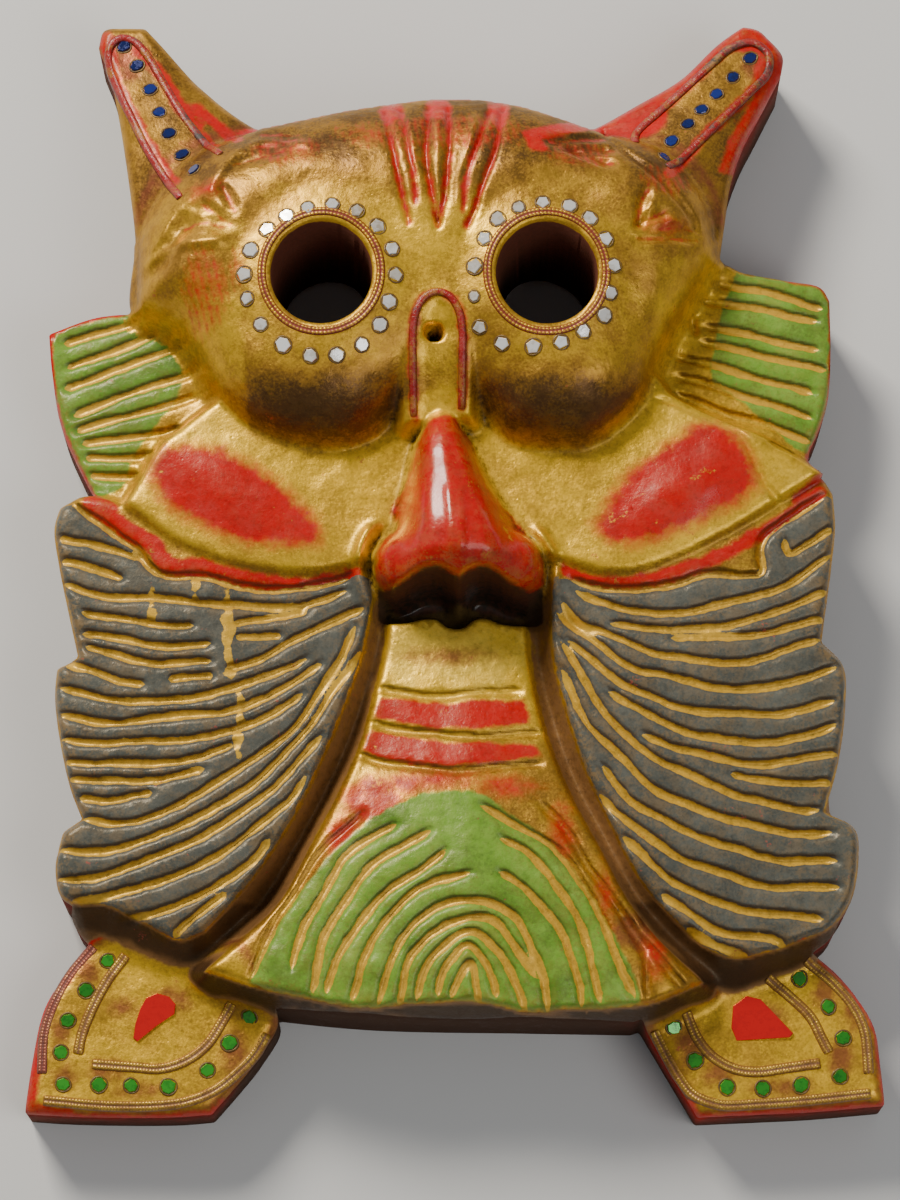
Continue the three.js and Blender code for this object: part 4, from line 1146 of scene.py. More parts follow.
def body_fields(carving):
    """Everything the paint of the block needs, over the grid."""
    height = carving.height
    near_mean = blurred(height, 1.5)
    wide_mean = blurred(height, 7)
    cut_slope = np.gradient(blurred(carving.removed, 1.6), CELL, axis=0)
    under_cuts = np.clip(-3.2 * cut_slope, 0, 1)
    return {
        "red_paint": red_field(carving),
        "blush": blush_field(),
        "recess": carving.edges["recess"],
        "green_paint": green_field(carving),
        "black_paint": black_field(carving),
        "gold_line": np.maximum(2.6 * carving.groove - 0.95, smear_field()),
        # Dirt and painted shade in small hollows, and painted shade in wide recesses
        "cavity": dirt_and_shade_kept(carving) * (np.clip((near_mean - height - 0.15) / 2.2, 0, 1)
                                         + np.clip((wide_mean - height - 3) / 26, 0, 0.5)),
        "wear": np.clip((height - near_mean) / 0.9, 0, 1),
        # Painted shade on the upper wall of each gold cut
        "overhang": (np.clip(-2.2 * np.gradient(np.minimum(carving.removed, 0.5), CELL, axis=0), 0, 1)
                     * carving.off(["head"], 1.5, 6)),
        # Painted shade above the cuts, and the left tuft darker
        "underside": np.maximum(under_cuts, 0.6 * bump(-96, 46, 16, 26)),
        "stain_and_shade": stain_and_shade_field(carving),
        "stain": stain_field(carving),
        "gloss": (0.12 + 0.38 * ramp(inside_distance(NOSE_RED), -1, 1)
                  + 0.3 * carving.on("cheeks", -1, 1) * ramp(np.abs(X), 28, 34)),
        "tone": tone_field(carving),
        # Walls darker low down, painted shade under the beard, and through the middle
        "dark_walls": (ramp(-Y, 96, 112) * ramp(66 - np.abs(X), 0, 6)
                  * (1 - ramp(-Y, 134, 138) * ramp(X, 45, 50))
                  + 0.6 * ramp(60 - np.abs(Y + 35), 0, 12)),
        # The right foot's left wall in bright red
        "bright_red_side": ramp(-Y, 133, 138) * ramp(X, 45, 50) * ramp(72 - X, 0, 3),
    }


def add_field(mesh, name, values):
    attribute = mesh.attributes.new(name, "FLOAT", "POINT")
    attribute.data.foreach_set("value", np.asarray(values, np.float32))


def vertex_places(mesh):
    places = np.empty(len(mesh.vertices) * 3, np.float32)
    mesh.vertices.foreach_get("co", places)
    return places.reshape(-1, 3).astype(float) / MM


def vertex_normals(mesh):
    normals = np.empty(len(mesh.vertices) * 3, np.float32)
    mesh.vertex_normals.foreach_get("vector", normals)
    return normals.reshape(-1, 3)


def paint_body(mesh, carving):
    """Writes the paint fields onto the points of the finished block."""
    places = vertex_places(mesh)
    normals = vertex_normals(mesh)
    x, y, z = places.T
    for name, field in body_fields(carving).items():
        add_field(mesh, name, sample_at(field, x, y))
    add_field(mesh, "depth", sample_at(carving.height, x, y) - z)
    add_field(mesh, "rear", ramp(-normals[:, 2], 0.3, 0.7))
    eyes = np.minimum(*[sample_at(eye_distance(eye), x, y) for eye in EYES])
    add_field(mesh, "tunnel", ramp(3.5 - eyes, 0, 1))


# Shader building

def node(tree, kind, settings=None, **feeds):
    """A shader node with its settings, and a value or another node's socket in each named input."""
    made = tree.nodes.new("ShaderNode" + kind)
    for name, value in (settings or {}).items():
        setattr(made, name, value)
    for name, value in feeds.items():
        connect(tree, made.inputs[name.replace("_", " ")], value)
    return made


def connect(tree, socket, value):
    if isinstance(value, bpy.types.NodeSocket):
        tree.links.new(value, socket)
    elif isinstance(value, tuple) and len(value) == 3 and socket.type == "RGBA":
        socket.default_value = (*value, 1)
    else:
        socket.default_value = value


def calc(tree, operation, first, second=0.0, clamp=False):
    made = tree.nodes.new("ShaderNodeMath")
    made.operation = operation
    made.use_clamp = clamp
    connect(tree, made.inputs[0], first)
    connect(tree, made.inputs[1], second)
    return made.outputs[0]


def blend(tree, share, first, second):
    made = tree.nodes.new("ShaderNodeMix")
    made.data_type = "RGBA"
    connect(tree, made.inputs[0], share)
    connect(tree, made.inputs[6], first)
    connect(tree, made.inputs[7], second)
    return made.outputs[2]


def blend_value(tree, share, first, second):
    made = tree.nodes.new("ShaderNodeMix")
    made.data_type = "FLOAT"
    connect(tree, made.inputs[0], share)
    connect(tree, made.inputs[2], first)
    connect(tree, made.inputs[3], second)
    return made.outputs[0]


def spread_out(tree, value, low, high, to_low=0.0, to_high=1.0):
    made = node(tree, "MapRange", {"interpolation_type": "SMOOTHSTEP"}, Value=value)
    made.inputs["From Min"].default_value = low
    made.inputs["From Max"].default_value = high
    made.inputs["To Min"].default_value = to_low
    made.inputs["To Max"].default_value = to_high
    return made.outputs["Result"]


def field_socket(tree, name):
    made = node(tree, "Attribute", {"attribute_type": "GEOMETRY", "attribute_name": name})
    return made.outputs["Fac"]


def millimetres(tree):
    place = tree.nodes.new("ShaderNodeTexCoord")
    made = tree.nodes.new("ShaderNodeVectorMath")
    made.operation = "SCALE"
    tree.links.new(place.outputs["Object"], made.inputs[0])
    made.inputs["Scale"].default_value = 1 / MM
    return made.outputs[0]


def new_group(name, inputs, outputs):
    """An empty node group, its inputs given as (name, kind, value) and outputs as (name, kind)."""
    group = bpy.data.node_groups.new(name, "ShaderNodeTree")
    for label, kind, value in inputs:
        socket = group.interface.new_socket(label, in_out="INPUT", socket_type=kind)
        socket.default_value = value
    for label, kind in outputs:
        group.interface.new_socket(label, in_out="OUTPUT", socket_type=kind)
    feed = group.nodes.new("NodeGroupInput").outputs
    out = group.nodes.new("NodeGroupOutput").inputs
    return group, feed, out


FLOAT = "NodeSocketFloat"
COLOUR = "NodeSocketColor"


def ragged_paint_group():
    """Turns a distance inside a patch of paint into how much paint is there, its rim brushed."""
    group, feed, out = new_group("ragged_paint", [
        ("Distance", FLOAT, 0.0), ("Size", FLOAT, 4.0), ("Raggedness", FLOAT, 1.0), ("Softness", FLOAT, 0.4),
    ], [("Amount", FLOAT)])
    frequency = calc(group, "DIVIDE", 1.0, feed["Size"])
    noise = node(group, "TexNoise", Vector=millimetres(group), Scale=frequency, Detail=5.0, Roughness=0.62)
    shift = calc(group, "MULTIPLY", calc(group, "SUBTRACT", noise.outputs["Fac"], 0.5), feed["Raggedness"])
    value = calc(group, "ADD", feed["Distance"], shift)
    share = calc(group, "DIVIDE", value, feed["Softness"])
    group.links.new(spread_out(group, share, -1.0, 1.0), out["Amount"])
    return group


def patches_group():
    """A mottled mask: wide cloudy patches broken up by fine flecks."""
    group, feed, out = new_group("patches", [
        ("Size", FLOAT, 10.0), ("Level", FLOAT, 0.5), ("Softness", FLOAT, 0.1), ("Flecks", FLOAT, 0.3),
    ], [("Amount", FLOAT)])
    place = millimetres(group)
    frequency = calc(group, "DIVIDE", 1.0, feed["Size"])
    wide = node(group, "TexNoise", Vector=place, Scale=frequency, Detail=6.0, Roughness=0.65)
    fine = node(group, "TexNoise", Vector=place, Scale=1.3, Detail=3.0, Roughness=0.6)
    flecks = calc(group, "MULTIPLY", calc(group, "SUBTRACT", fine.outputs["Fac"], 0.5), feed["Flecks"])
    value = calc(group, "SUBTRACT", calc(group, "ADD", wide.outputs["Fac"], flecks), feed["Level"])
    share = calc(group, "DIVIDE", value, feed["Softness"])
    group.links.new(spread_out(group, share, -1.0, 1.0), out["Amount"])
    return group


def grime_and_shade_group():
    """Dark dirt that settles in hollows, with painted shade there, and in a thin uneven film over
    everything.
    """
    group, feed, out = new_group("grime_and_shade", [
        ("Color", COLOUR, (0.5, 0.5, 0.5, 1)), ("Dirt", COLOUR, (0.02, 0.012, 0.006, 1)),
        ("Hollow", FLOAT, 0.0), ("Strength", FLOAT, 1.0), ("Film", FLOAT, 0.1),
    ], [("Color", COLOUR)])
    noise = node(group, "TexNoise", Vector=millimetres(group), Scale=0.55, Detail=6.0, Roughness=0.7)
    uneven = spread_out(group, noise.outputs["Fac"], 0.3, 0.7, 0.35, 1.0)
    settled = calc(group, "MULTIPLY", calc(group, "MULTIPLY", feed["Hollow"], feed["Strength"]), uneven)
    film = calc(group, "MULTIPLY", feed["Film"], spread_out(group, noise.outputs["Fac"], 0.45, 0.75))
    share = calc(group, "ADD", settled, film, clamp=True)
    group.links.new(blend(group, share, feed["Color"], feed["Dirt"]), out["Color"])
    return group


def surface_height_group():
    """Small unevenness of brushed paint and gesso: soft dents, brush ripples and pin pricks."""
    group, feed, out = new_group("uneven_surface", [
        ("Dents", FLOAT, 1.0), ("Ripples", FLOAT, 1.0), ("Pits", FLOAT, 1.0),
    ], [("Height", FLOAT)])
    place = millimetres(group)
    dents = node(group, "TexNoise", Vector=place, Scale=0.22, Detail=4.0, Roughness=0.55)
    ripples = node(group, "TexNoise", Vector=place, Scale=0.9, Detail=4.0, Roughness=0.65, Distortion=0.6)
    pits = node(group, "TexVoronoi", {"feature": "F1"}, Vector=place, Scale=0.28, Randomness=1.0)
    pit = spread_out(group, pits.outputs["Distance"], 0.06, 0.16, -1.0, 0.0)
    first = calc(group, "MULTIPLY", dents.outputs["Fac"], feed["Dents"])
    second = calc(group, "MULTIPLY", ripples.outputs["Fac"], feed["Ripples"])
    third = calc(group, "MULTIPLY", pit, feed["Pits"])
    group.links.new(calc(group, "ADD", calc(group, "ADD", first, second), third), out["Height"])
    return group


GROUPS = {
    "ragged_paint": ragged_paint_group(),
    "patches": patches_group(),
    "grime_and_shade": grime_and_shade_group(),
    "uneven_surface": surface_height_group(),
}


def use_group(tree, name, output, **feeds):
    made = tree.nodes.new("ShaderNodeGroup")
    made.node_tree = GROUPS[name]
    for label, value in feeds.items():
        connect(tree, made.inputs[label], value)
    return made.outputs[output]


def new_material(name):
    material = bpy.data.materials.new(name)
    material.use_nodes = True
    tree = material.node_tree
    return material, tree, tree.nodes["Principled BSDF"]


def times(tree, first, second):
    return calc(tree, "MULTIPLY", first, second)


def most(tree, first, second):
    return calc(tree, "MAXIMUM", first, second)


def rest_of(tree, share):
    """What a share leaves of 1."""
    return calc(tree, "SUBTRACT", 1.0, share)


def mottle(tree, size, level, softness, flecks):
    return use_group(tree, "patches", "Amount", Size=size, Level=level, Softness=softness, Flecks=flecks)


def brushed(tree, field, size, raggedness, softness, inset=0.0):
    """How much paint one of the fields lays down, its edge drawn in by inset."""
    distance = field_socket(tree, field)
    if inset:
        distance = calc(tree, "SUBTRACT", distance, inset)
    return use_group(tree, "ragged_paint", "Amount", Distance=distance, Size=size,
                     Raggedness=raggedness, Softness=softness)


def rough_normal(tree, height, distance, strength):
    bump_node = node(tree, "Bump", Height=height)
    bump_node.inputs["Distance"].default_value = distance * MM
    bump_node.inputs["Strength"].default_value = strength
    return bump_node.outputs["Normal"]


# Paint colours, linear
GOLD_BRIGHT = (0.92, 0.555, 0.035)
# Painted light: the pale gold where the tone runs highest, mostly on the lip
GOLD_LIT = (1.0, 0.66, 0.08)
GOLD_WORN = (0.43, 0.215, 0.03)
GOLD_BROWN = (0.135, 0.066, 0.024)
RED = (0.56, 0.003, 0.003)
RED_DARK = (0.26, 0.005, 0.006)
RED_ROSY = (0.45, 0.07, 0.055)
GREEN = (0.17, 0.34, 0.035)
GREEN_LIGHT = (0.31, 0.47, 0.08)
GREEN_DARK = (0.045, 0.12, 0.015)
BLACK = (0.062, 0.066, 0.058)
BLACK_WORN = (0.125, 0.128, 0.108)
GOLD_LINE = (0.74, 0.43, 0.045)
CUT_SHADE = (0.065, 0.028, 0.008)
STAIN_BROWN = (0.25, 0.12, 0.04)
# Painted shade under the wings and the beard
PAINTED_SHADE_BROWN = (0.05, 0.022, 0.008)
STAIN_RED = (0.30, 0.07, 0.04)
LACQUER = (0.13, 0.006, 0.006)
LACQUER_FRESH = (0.28, 0.006, 0.006)
# Darker walls: painted shade under the beard
DARK_WALL_BROWN = (0.05, 0.018, 0.01)
RECESS_SHADE = (0.045, 0.022, 0.012)
TUNNEL_SHADE = (0.11, 0.03, 0.018)
WOOD_STAIN = (0.085, 0.032, 0.015)
# Dirt, and painted shade in the hollows
DIRT_AND_SHADE = (0.012, 0.007, 0.004)
STRIP_RED = (0.34, 0.012, 0.01)
GUM = (0.06, 0.045, 0.038)


def gilding(tree):
    """Gold paint, bright or browned by its tone, mottled with patina; the palest gold, where the tone runs
    highest, is painted light.
    """
    patches = mottle(tree, 14.0, 0.5, 0.16, 0.45)
    shift = times(tree, calc(tree, "SUBTRACT", patches, 0.5), 0.3)
    level = calc(tree, "ADD", field_socket(tree, "tone"), shift)
    low = blend(tree, spread_out(tree, level, 0.0, 0.42), GOLD_BROWN, GOLD_WORN)
    gold = blend(tree, spread_out(tree, level, 0.3, 0.95), low, GOLD_BRIGHT)
    return blend(tree, spread_out(tree, level, 0.95, 1.4), gold, GOLD_LIT)


def red_paint(tree):
    rosy = blend(tree, times(tree, mottle(tree, 8.0, 0.56, 0.16, 0.15), 0.3), RED, RED_ROSY)
    return blend(tree, times(tree, mottle(tree, 12.0, 0.58, 0.14, 0.1), 0.3), rosy, RED_DARK)


def green_paint(tree):
    mixed = blend(tree, times(tree, mottle(tree, 9.0, 0.5, 0.15, 0.3), 0.5), GREEN, GREEN_LIGHT)
    return blend(tree, times(tree, mottle(tree, 16.0, 0.55, 0.12, 0.4), 0.6), mixed, GREEN_DARK)


def black_paint(tree):
    return blend(tree, mottle(tree, 12.0, 0.5, 0.3, 0.2), BLACK, BLACK_WORN)


def side_paint(tree):
    """Lacquer on the walls of the block: darker low down, which is painted shade under the beard, and
    through the middle; bright red beside the right foot.
    """
    colour = blend(tree, mottle(tree, 12.0, 0.5, 0.15, 0.4), LACQUER, LACQUER_FRESH)
    # Painted shade on the walls under the beard, and darker walls through the middle
    colour = blend(tree, field_socket(tree, "dark_walls"), colour, DARK_WALL_BROWN)
    return blend(tree, times(tree, field_socket(tree, "bright_red_side"), 0.85), colour, RED)


def painted_wood():
    """The paint of the block: gilding, then red, green and black, rubbed and dirtied by age, with painted
    shade in the cuts, the channels, the recess, the eye holes and the low walls.
    """
    material, tree, shader = new_material("painted_wood")
    cavity = field_socket(tree, "cavity")
    side = brushed(tree, "depth", 3.5, 3.4, 0.7, inset=2.2)
    spots = brushed(tree, "stain", 3.0, 6.0, 2.2, inset=0.7)
    red_rim = brushed(tree, "red_paint", 4.0, 3.4, 0.8)
    blush = brushed(tree, "blush", 3.5, 7.0, 3.2, inset=1.4)
    green_rim = brushed(tree, "green_paint", 4.0, 3.0, 0.6)
    black_rim = brushed(tree, "black_paint", 3.0, 1.6, 0.35)
    line = brushed(tree, "gold_line", 2.2, 1.5, 0.14)
    stain_and_shade_share = brushed(tree, "stain_and_shade", 3.0, 0.5, 0.2, inset=0.3)
    hollow = brushed(tree, "recess", 2.0, 0.8, 0.35)

    bare_red = mottle(tree, 6.0, 0.68, 0.05, 0.3)
    red = times(tree, most(tree, red_rim, blush), rest_of(tree, times(tree, bare_red, 0.6)))
    painted = calc(tree, "ADD", black_rim, green_rim, clamp=True)
    gold_line = times(tree, line, painted)
    overhang = spread_out(tree, field_socket(tree, "overhang"), 0.3, 0.85)
    rubbed = times(tree, field_socket(tree, "wear"), mottle(tree, 4.0, 0.5, 0.1, 0.6))
    # Green darkened by painted shade above its cuts
    shaded = times(tree, field_socket(tree, "underside"), 0.75)
    green = blend(tree, shaded, green_paint(tree), GREEN_DARK)
    # Brown stain in the channels, turning to painted shade under the wings and the beard
    deep = spread_out(tree, field_socket(tree, "stain_and_shade"), 0.45, 1.0)
    stain = blend(tree, deep, STAIN_BROWN, PAINTED_SHADE_BROWN)

    colour = blend(tree, times(tree, spots, 0.8), gilding(tree), STAIN_RED)
    for share, paint in [
        (red, red_paint(tree)),
        (green_rim, green),
        (black_rim, black_paint(tree)),
        (times(tree, rubbed, 0.3), GOLD_WORN),
        (gold_line, GOLD_LINE),
        # Painted shade on the upper wall of each cut
        (times(tree, overhang, 0.8), CUT_SHADE),
        (stain_and_shade_share, stain),
        (times(tree, mottle(tree, 7.0, 0.72, 0.03, 0.5), 0.6), RED_ROSY),
        (side, side_paint(tree)),
        (times(tree, hollow, 0.93), RECESS_SHADE),
        (times(tree, field_socket(tree, "tunnel"), side), TUNNEL_SHADE),
        (field_socket(tree, "rear"), WOOD_STAIN),
    ]:
        colour = blend(tree, share, colour, paint)
    # Dirt and painted shade in the hollows, and a film of dirt
    colour = use_group(tree, "grime_and_shade", "Color", Color=colour, Dirt=DIRT_AND_SHADE, Hollow=cavity,
                       Strength=0.8, Film=0.3)
    connect(tree, shader.inputs["Base Color"], colour)

    coloured = most(tree, most(tree, red, painted), side)
    coloured = times(tree, coloured, rest_of(tree, gold_line))
    matte = most(tree, most(tree, coloured, stain_and_shade_share), times(tree, cavity, 1.4))
    matte = most(tree, most(tree, matte, times(tree, gold_line, 0.6)), hollow)
    metal = calc(tree, "SUBTRACT", 1.0, matte, clamp=True)
    connect(tree, shader.inputs["Metallic"], times(tree, metal, 0.64))

    dust = mottle(tree, 5.0, 0.5, 0.2, 0.8)
    gold_rough = calc(tree, "ADD", times(tree, dust, 0.14), 0.32)
    paint_rough = calc(tree, "ADD", times(tree, dust, 0.16), 0.27)
    side_rough = calc(tree, "ADD", dust, 0.8, clamp=True)
    roughness = blend_value(tree, coloured, gold_rough, paint_rough)
    roughness = blend_value(tree, hollow, roughness, 0.85)
    connect(tree, shader.inputs["Roughness"], blend_value(tree, side, roughness, side_rough))

    coat = times(tree, red, rest_of(tree, side))
    connect(tree, shader.inputs["Coat Weight"], times(tree, coat, field_socket(tree, "gloss")))
    shader.inputs["Specular IOR Level"].default_value = 0.36
    shader.inputs["Coat Roughness"].default_value = 0.16
    shader.inputs["Specular Tint"].default_value = (1.0, 0.86, 0.62, 1)
    height = use_group(tree, "uneven_surface", "Height", Dents=1.0, Ripples=0.14, Pits=0.12)
    connect(tree, shader.inputs["Normal"], rough_normal(tree, height, 0.5, 0.7))
    return material


def smooth_strip_paint():
    """Smooth raised edging: red over dark gum, rubbed through."""
    material, tree, shader = new_material("corded_strip")
    chips = mottle(tree, 9.0, 0.6, 0.05, 0.3)
    colour = blend(tree, chips, STRIP_RED, GUM)
    colour = blend(tree, times(tree, mottle(tree, 3.0, 0.55, 0.1, 0.6), 0.6), colour, RED_ROSY)
    colour = blend(tree, times(tree, mottle(tree, 7.0, 0.56, 0.07, 0.5), 0.6), colour, GOLD_WORN)
    # Dirt, and painted shade towards the strip's foot
    colour = use_group(tree, "grime_and_shade", "Color", Color=colour, Hollow=field_socket(tree, "cavity"))
    connect(tree, shader.inputs["Base Color"], colour)
    connect(tree, shader.inputs["Roughness"], spread_out(tree, chips, 0.0, 1.0, 0.3, 0.55))
    height = use_group(tree, "uneven_surface", "Height", Dents=0.6, Ripples=0.8, Pits=0.1)
    connect(tree, shader.inputs["Normal"], rough_normal(tree, height, 0.4, 0.8))
    return material


def bead_paint(name, between_colour, low=0.35, high=0.8, worn=GOLD_WORN, fresh=GOLD_BRIGHT):
    """Beaded edging: gold on the beads, a darker colour between them."""
    material, tree, shader = new_material(name)
    patches = mottle(tree, 6.0, 0.5, 0.15, 0.5)
    gold = blend(tree, patches, worn, fresh)
    between = spread_out(tree, field_socket(tree, "cavity"), low, high)
    colour = blend(tree, between, gold, between_colour)
    # Dirt and painted shade between the beads
    colour = use_group(tree, "grime_and_shade", "Color", Color=colour, Hollow=between, Strength=0.35, Film=0.25)
    connect(tree, shader.inputs["Base Color"], colour)
    connect(tree, shader.inputs["Metallic"], spread_out(tree, between, 0.0, 1.0, 0.65, 0.1))
    connect(tree, shader.inputs["Roughness"], spread_out(tree, patches, 0.0, 1.0, 0.5, 0.36))
    height = use_group(tree, "uneven_surface", "Height", Dents=0.5, Ripples=0.5, Pits=0.0)
    connect(tree, shader.inputs["Normal"], rough_normal(tree, height, 0.3, 0.6))
    return material


def mirror_glass(name, deep, bright, metal):
    """Foil behind thin coloured glass: brighter on some tiles than on others, with worn silvering; the
    brighter colour is a painted glint.
    """
    material, tree, shader = new_material(name)
    worn = mottle(tree, 2.4, 0.55, 0.08, 0.4)
    share = calc(tree, "SUBTRACT", field_socket(tree, "glint"), times(tree, worn, 0.35), clamp=True)
    connect(tree, shader.inputs["Base Color"], blend(tree, share, deep, bright))
    shader.inputs["Metallic"].default_value = metal
    connect(tree, shader.inputs["Roughness"], spread_out(tree, worn, 0.0, 1.0, 0.07, 0.22))
    shader.inputs["Coat Weight"].default_value = 1.0
    shader.inputs["Coat Roughness"].default_value = 0.03
    height = use_group(tree, "uneven_surface", "Height", Dents=0.8, Ripples=0.1, Pits=0.0)
    connect(tree, shader.inputs["Normal"], rough_normal(tree, height, 0.25, 0.5))
    return material


# Strips of edging, moulded from gum and laid on the wood

SMOOTH_STRIPS = {
    "left_ear_strip": [(-67.5, 113.5), (-78, 128), (-85, 140.5), (-89.8, 149.3), (-94, 154.4), (-98, 155.4),
                       (-101, 152.8), (-101.2, 147), (-98, 138), (-94, 129), (-89, 118), (-82.3, 106),
                       (-78.8, 100)],
    "right_ear_strip": [(52, 119.5), (52.5, 124), (59, 131), (66, 138), (74, 146), (81, 152.5), (87, 154),
                        (91.5, 150.5), (91.5, 145), (86, 138), (79, 130), (71, 121), (61, 110)],
    "beak_tab_strip": [(-11.8, 36.5), (-12, 50), (-11.9, 60), (-10.8, 65), (-8.4, 68.6), (-5, 70),
                       (-1.6, 68.6), (0.8, 65), (1.9, 60), (2, 50), (1.8, 38.5)],
}
BEADED_STRIPS = {
    "left_foot_outer_strip": [(-102, -112), (-108, -119), (-112.5, -127), (-115.5, -136), (-116, -148)],
    "left_foot_inner_strip": [(-93, -114.5), (-98, -121.5), (-102, -129), (-105, -137), (-106, -142.5)],
    "left_foot_hem_strip": [(-102, -145.3), (-90, -146.2), (-83, -146.6), (-76, -144.5), (-70, -140),
                            (-66, -134), (-63, -128.5)],
    "left_foot_edge_strip": [(-115.5, -155.5), (-98, -157), (-84, -157), (-76, -156), (-68, -153),
                             (-61, -147.5), (-56, -142), (-53, -136.5)],
    "right_foot_outer_strip": [(99, -116), (106, -122), (112, -129), (115, -136), (116, -148)],
    "right_foot_inner_strip": [(88, -121), (94, -126), (100, -132), (103, -138), (105, -142)],
    "right_foot_hem_strip": [(65, -131), (68, -138), (72, -143), (78, -146.5), (84, -147.5), (92, -146.5),
                             (102.5, -145)],
    "right_foot_edge_strip": [(56, -136), (59, -142), (63, -149), (67, -154), (74, -156.7), (84, -156.5),
                              (100, -155.3), (116.5, -153.5)],
}
RING_MIDDLE = 2.3      # from the edge of the eye hole to the middle of its beaded ring
SUNK = 0.7             # how deep a strip's foot reaches into the paint
EAR_STRIP_SIZE = (2.5, 1.15)     # width and height
TAB_STRIP_SIZE = (2.3, 1.1)
BEADED_SIZE = (3.1, 0.8)
RING_SIZE = (2.5, 0.6)
BEAD_ROWS = 2
BEAD_PITCH = 0.9
RING_PITCH = 1.1


def follow(points, step):
    """A curve re-spaced to even steps, with the direction along it."""
    curve = smooth_path(points, 0.5)
    lengths = np.concatenate([[0], np.cumsum(np.hypot(*np.diff(curve, axis=0).T))])
    stations = np.linspace(0, lengths[-1], max(3, int(lengths[-1] / step)))
    even = np.stack([np.interp(stations, lengths, curve[:, k]) for k in (0, 1)], 1)
    ahead = np.gradient(even, axis=0)
    return even, ahead / np.hypot(*ahead.T)[:, None], stations


def circle_stations(eye, step):
    rx, ry = EYE_HOLE[0] + RING_MIDDLE, EYE_HOLE[1] + RING_MIDDLE
    count = int(2 * math.pi * rx / step)
    turn = np.arange(count) / count * 2 * math.pi
    even = np.stack([eye[0] + rx * np.cos(turn), eye[1] + ry * np.sin(turn)], 1)
    ahead = np.stack([-np.sin(turn), np.cos(turn)], 1)
    return even, ahead, turn * rx


def strip_profile(width, height, rows, phase):
    """Offsets across a strip and heights over it; rows counts its lines of beads, 0 for a smooth one."""
    across = np.linspace(-1, 1, 13)
    if rows == 0:
        rise = height * np.sqrt(np.maximum(1 - across ** 2, 0)) ** 0.9
        return across * width / 2, rise, np.clip(1 - rise / height, 0, 1)
    crest = np.abs(np.sin(across * math.pi * rows / 2))
    bead = abs(math.sin(phase)) ** 0.7
    rise = height * (0.45 + 0.55 * crest ** 0.8 * (0.35 + 0.65 * bead)) * (1 - np.abs(across) ** 6)
    hollow = np.clip(1 - crest * (0.2 + 0.8 * bead), 0, 1)
    return across * width / 2, rise, hollow


def lay_strip(name, stations, surface, size, rows, pitch, closed=False):
    """Sweeps a strip along its stations over the wood, sunk into the paint at its foot."""
    width, height = size
    even, ahead, lengths = stations
    side = np.stack([-ahead[:, 1], ahead[:, 0]], 1)
    base = sample_at(surface, even[:, 0], even[:, 1])
    points, hollows = [], []
    for k in range(len(even)):
        fade = 1.0 if closed else min(1.0, 0.35 + min(k, len(even) - 1 - k) / 4)
        phase = lengths[k] / pitch * math.pi
        across, rise, hollow = strip_profile(width * (0.8 + 0.2 * fade), height * fade, rows, phase)
        x, y = even[k, 0] + across * side[k, 0], even[k, 1] + across * side[k, 1]
        ground = 0.5 * sample_at(surface, x, y) + 0.5 * base[k]
        top = np.stack([x, y, ground + rise], 1)
        foot = top[[-1, 0]].copy()
        foot[:, 2] = ground[[-1, 0]] - SUNK
        points.append(np.vstack([top, foot]))
        hollows.append(np.concatenate([hollow, [1, 1]]))
    round_strip = len(points[0])
    faces = []
    for k in range(len(even) if closed else len(even) - 1):
        here, there = k * round_strip, (k + 1) % len(even) * round_strip
        for n in range(round_strip):
            m = (n + 1) % round_strip
            faces.append((here + n, there + n, there + m, here + m))
    if not closed:
        faces.append(tuple(range(round_strip)))
        faces.append(tuple(reversed(range((len(even) - 1) * round_strip, len(even) * round_strip))))
    mesh = bpy.data.meshes.new(name)
    mesh.from_pydata((np.vstack(points) * MM).tolist(), [], faces)
    mesh.polygons.foreach_set("use_smooth", np.ones(len(mesh.polygons), bool))
    mesh.update()
    add_field(mesh, "cavity", np.concatenate(hollows))
    return place_object(name, mesh)


def dress(piece, material, slot, *nodes):
    """Gives a piece its material and hides the plain nodes it stands for; the slot is not used."""
    piece.data.materials.append(material)
    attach(piece, "root")
    if nodes:
        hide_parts(*nodes)


def lay_strips(surface):
    smooth = smooth_strip_paint()
    bead = bead_paint("gilded_beads", (0.33, 0.14, 0.045), worn=(0.34, 0.165, 0.035),
                      fresh=(0.62, 0.37, 0.05))
    rosy_bead = bead_paint("worn_red_beads", (0.22, 0.05, 0.035), worn=(0.33, 0.09, 0.06),
                           fresh=(0.46, 0.2, 0.09))
    ring = bead_paint("eye_beads", (0.30, 0.035, 0.018), 0.1, 0.7)
    for name, path in SMOOTH_STRIPS.items():
        size = TAB_STRIP_SIZE if name == "beak_tab_strip" else EAR_STRIP_SIZE
        piece = lay_strip("visual_" + name, follow(path, 0.6), surface, size, 0, 1.0)
        dress(piece, smooth, "moulded_strip", name)
    for name, path in BEADED_STRIPS.items():
        piece = lay_strip("visual_" + name, follow(path, 0.26), surface, BEADED_SIZE, BEAD_ROWS, BEAD_PITCH)
        dress(piece, rosy_bead if name == "left_foot_outer_strip" else bead, "moulded_strip", name)
    for side, eye in zip(("left", "right"), EYES):
        piece = lay_strip(f"visual_{side}_eye_ring", circle_stations(eye, 0.3), surface, RING_SIZE,
                          BEAD_ROWS, RING_PITCH, closed=True)
        dress(piece, ring, "moulded_strip", f"{side}_eye_ring")


# Mirrors: small cut tiles, each but the red ones in a bed of gum

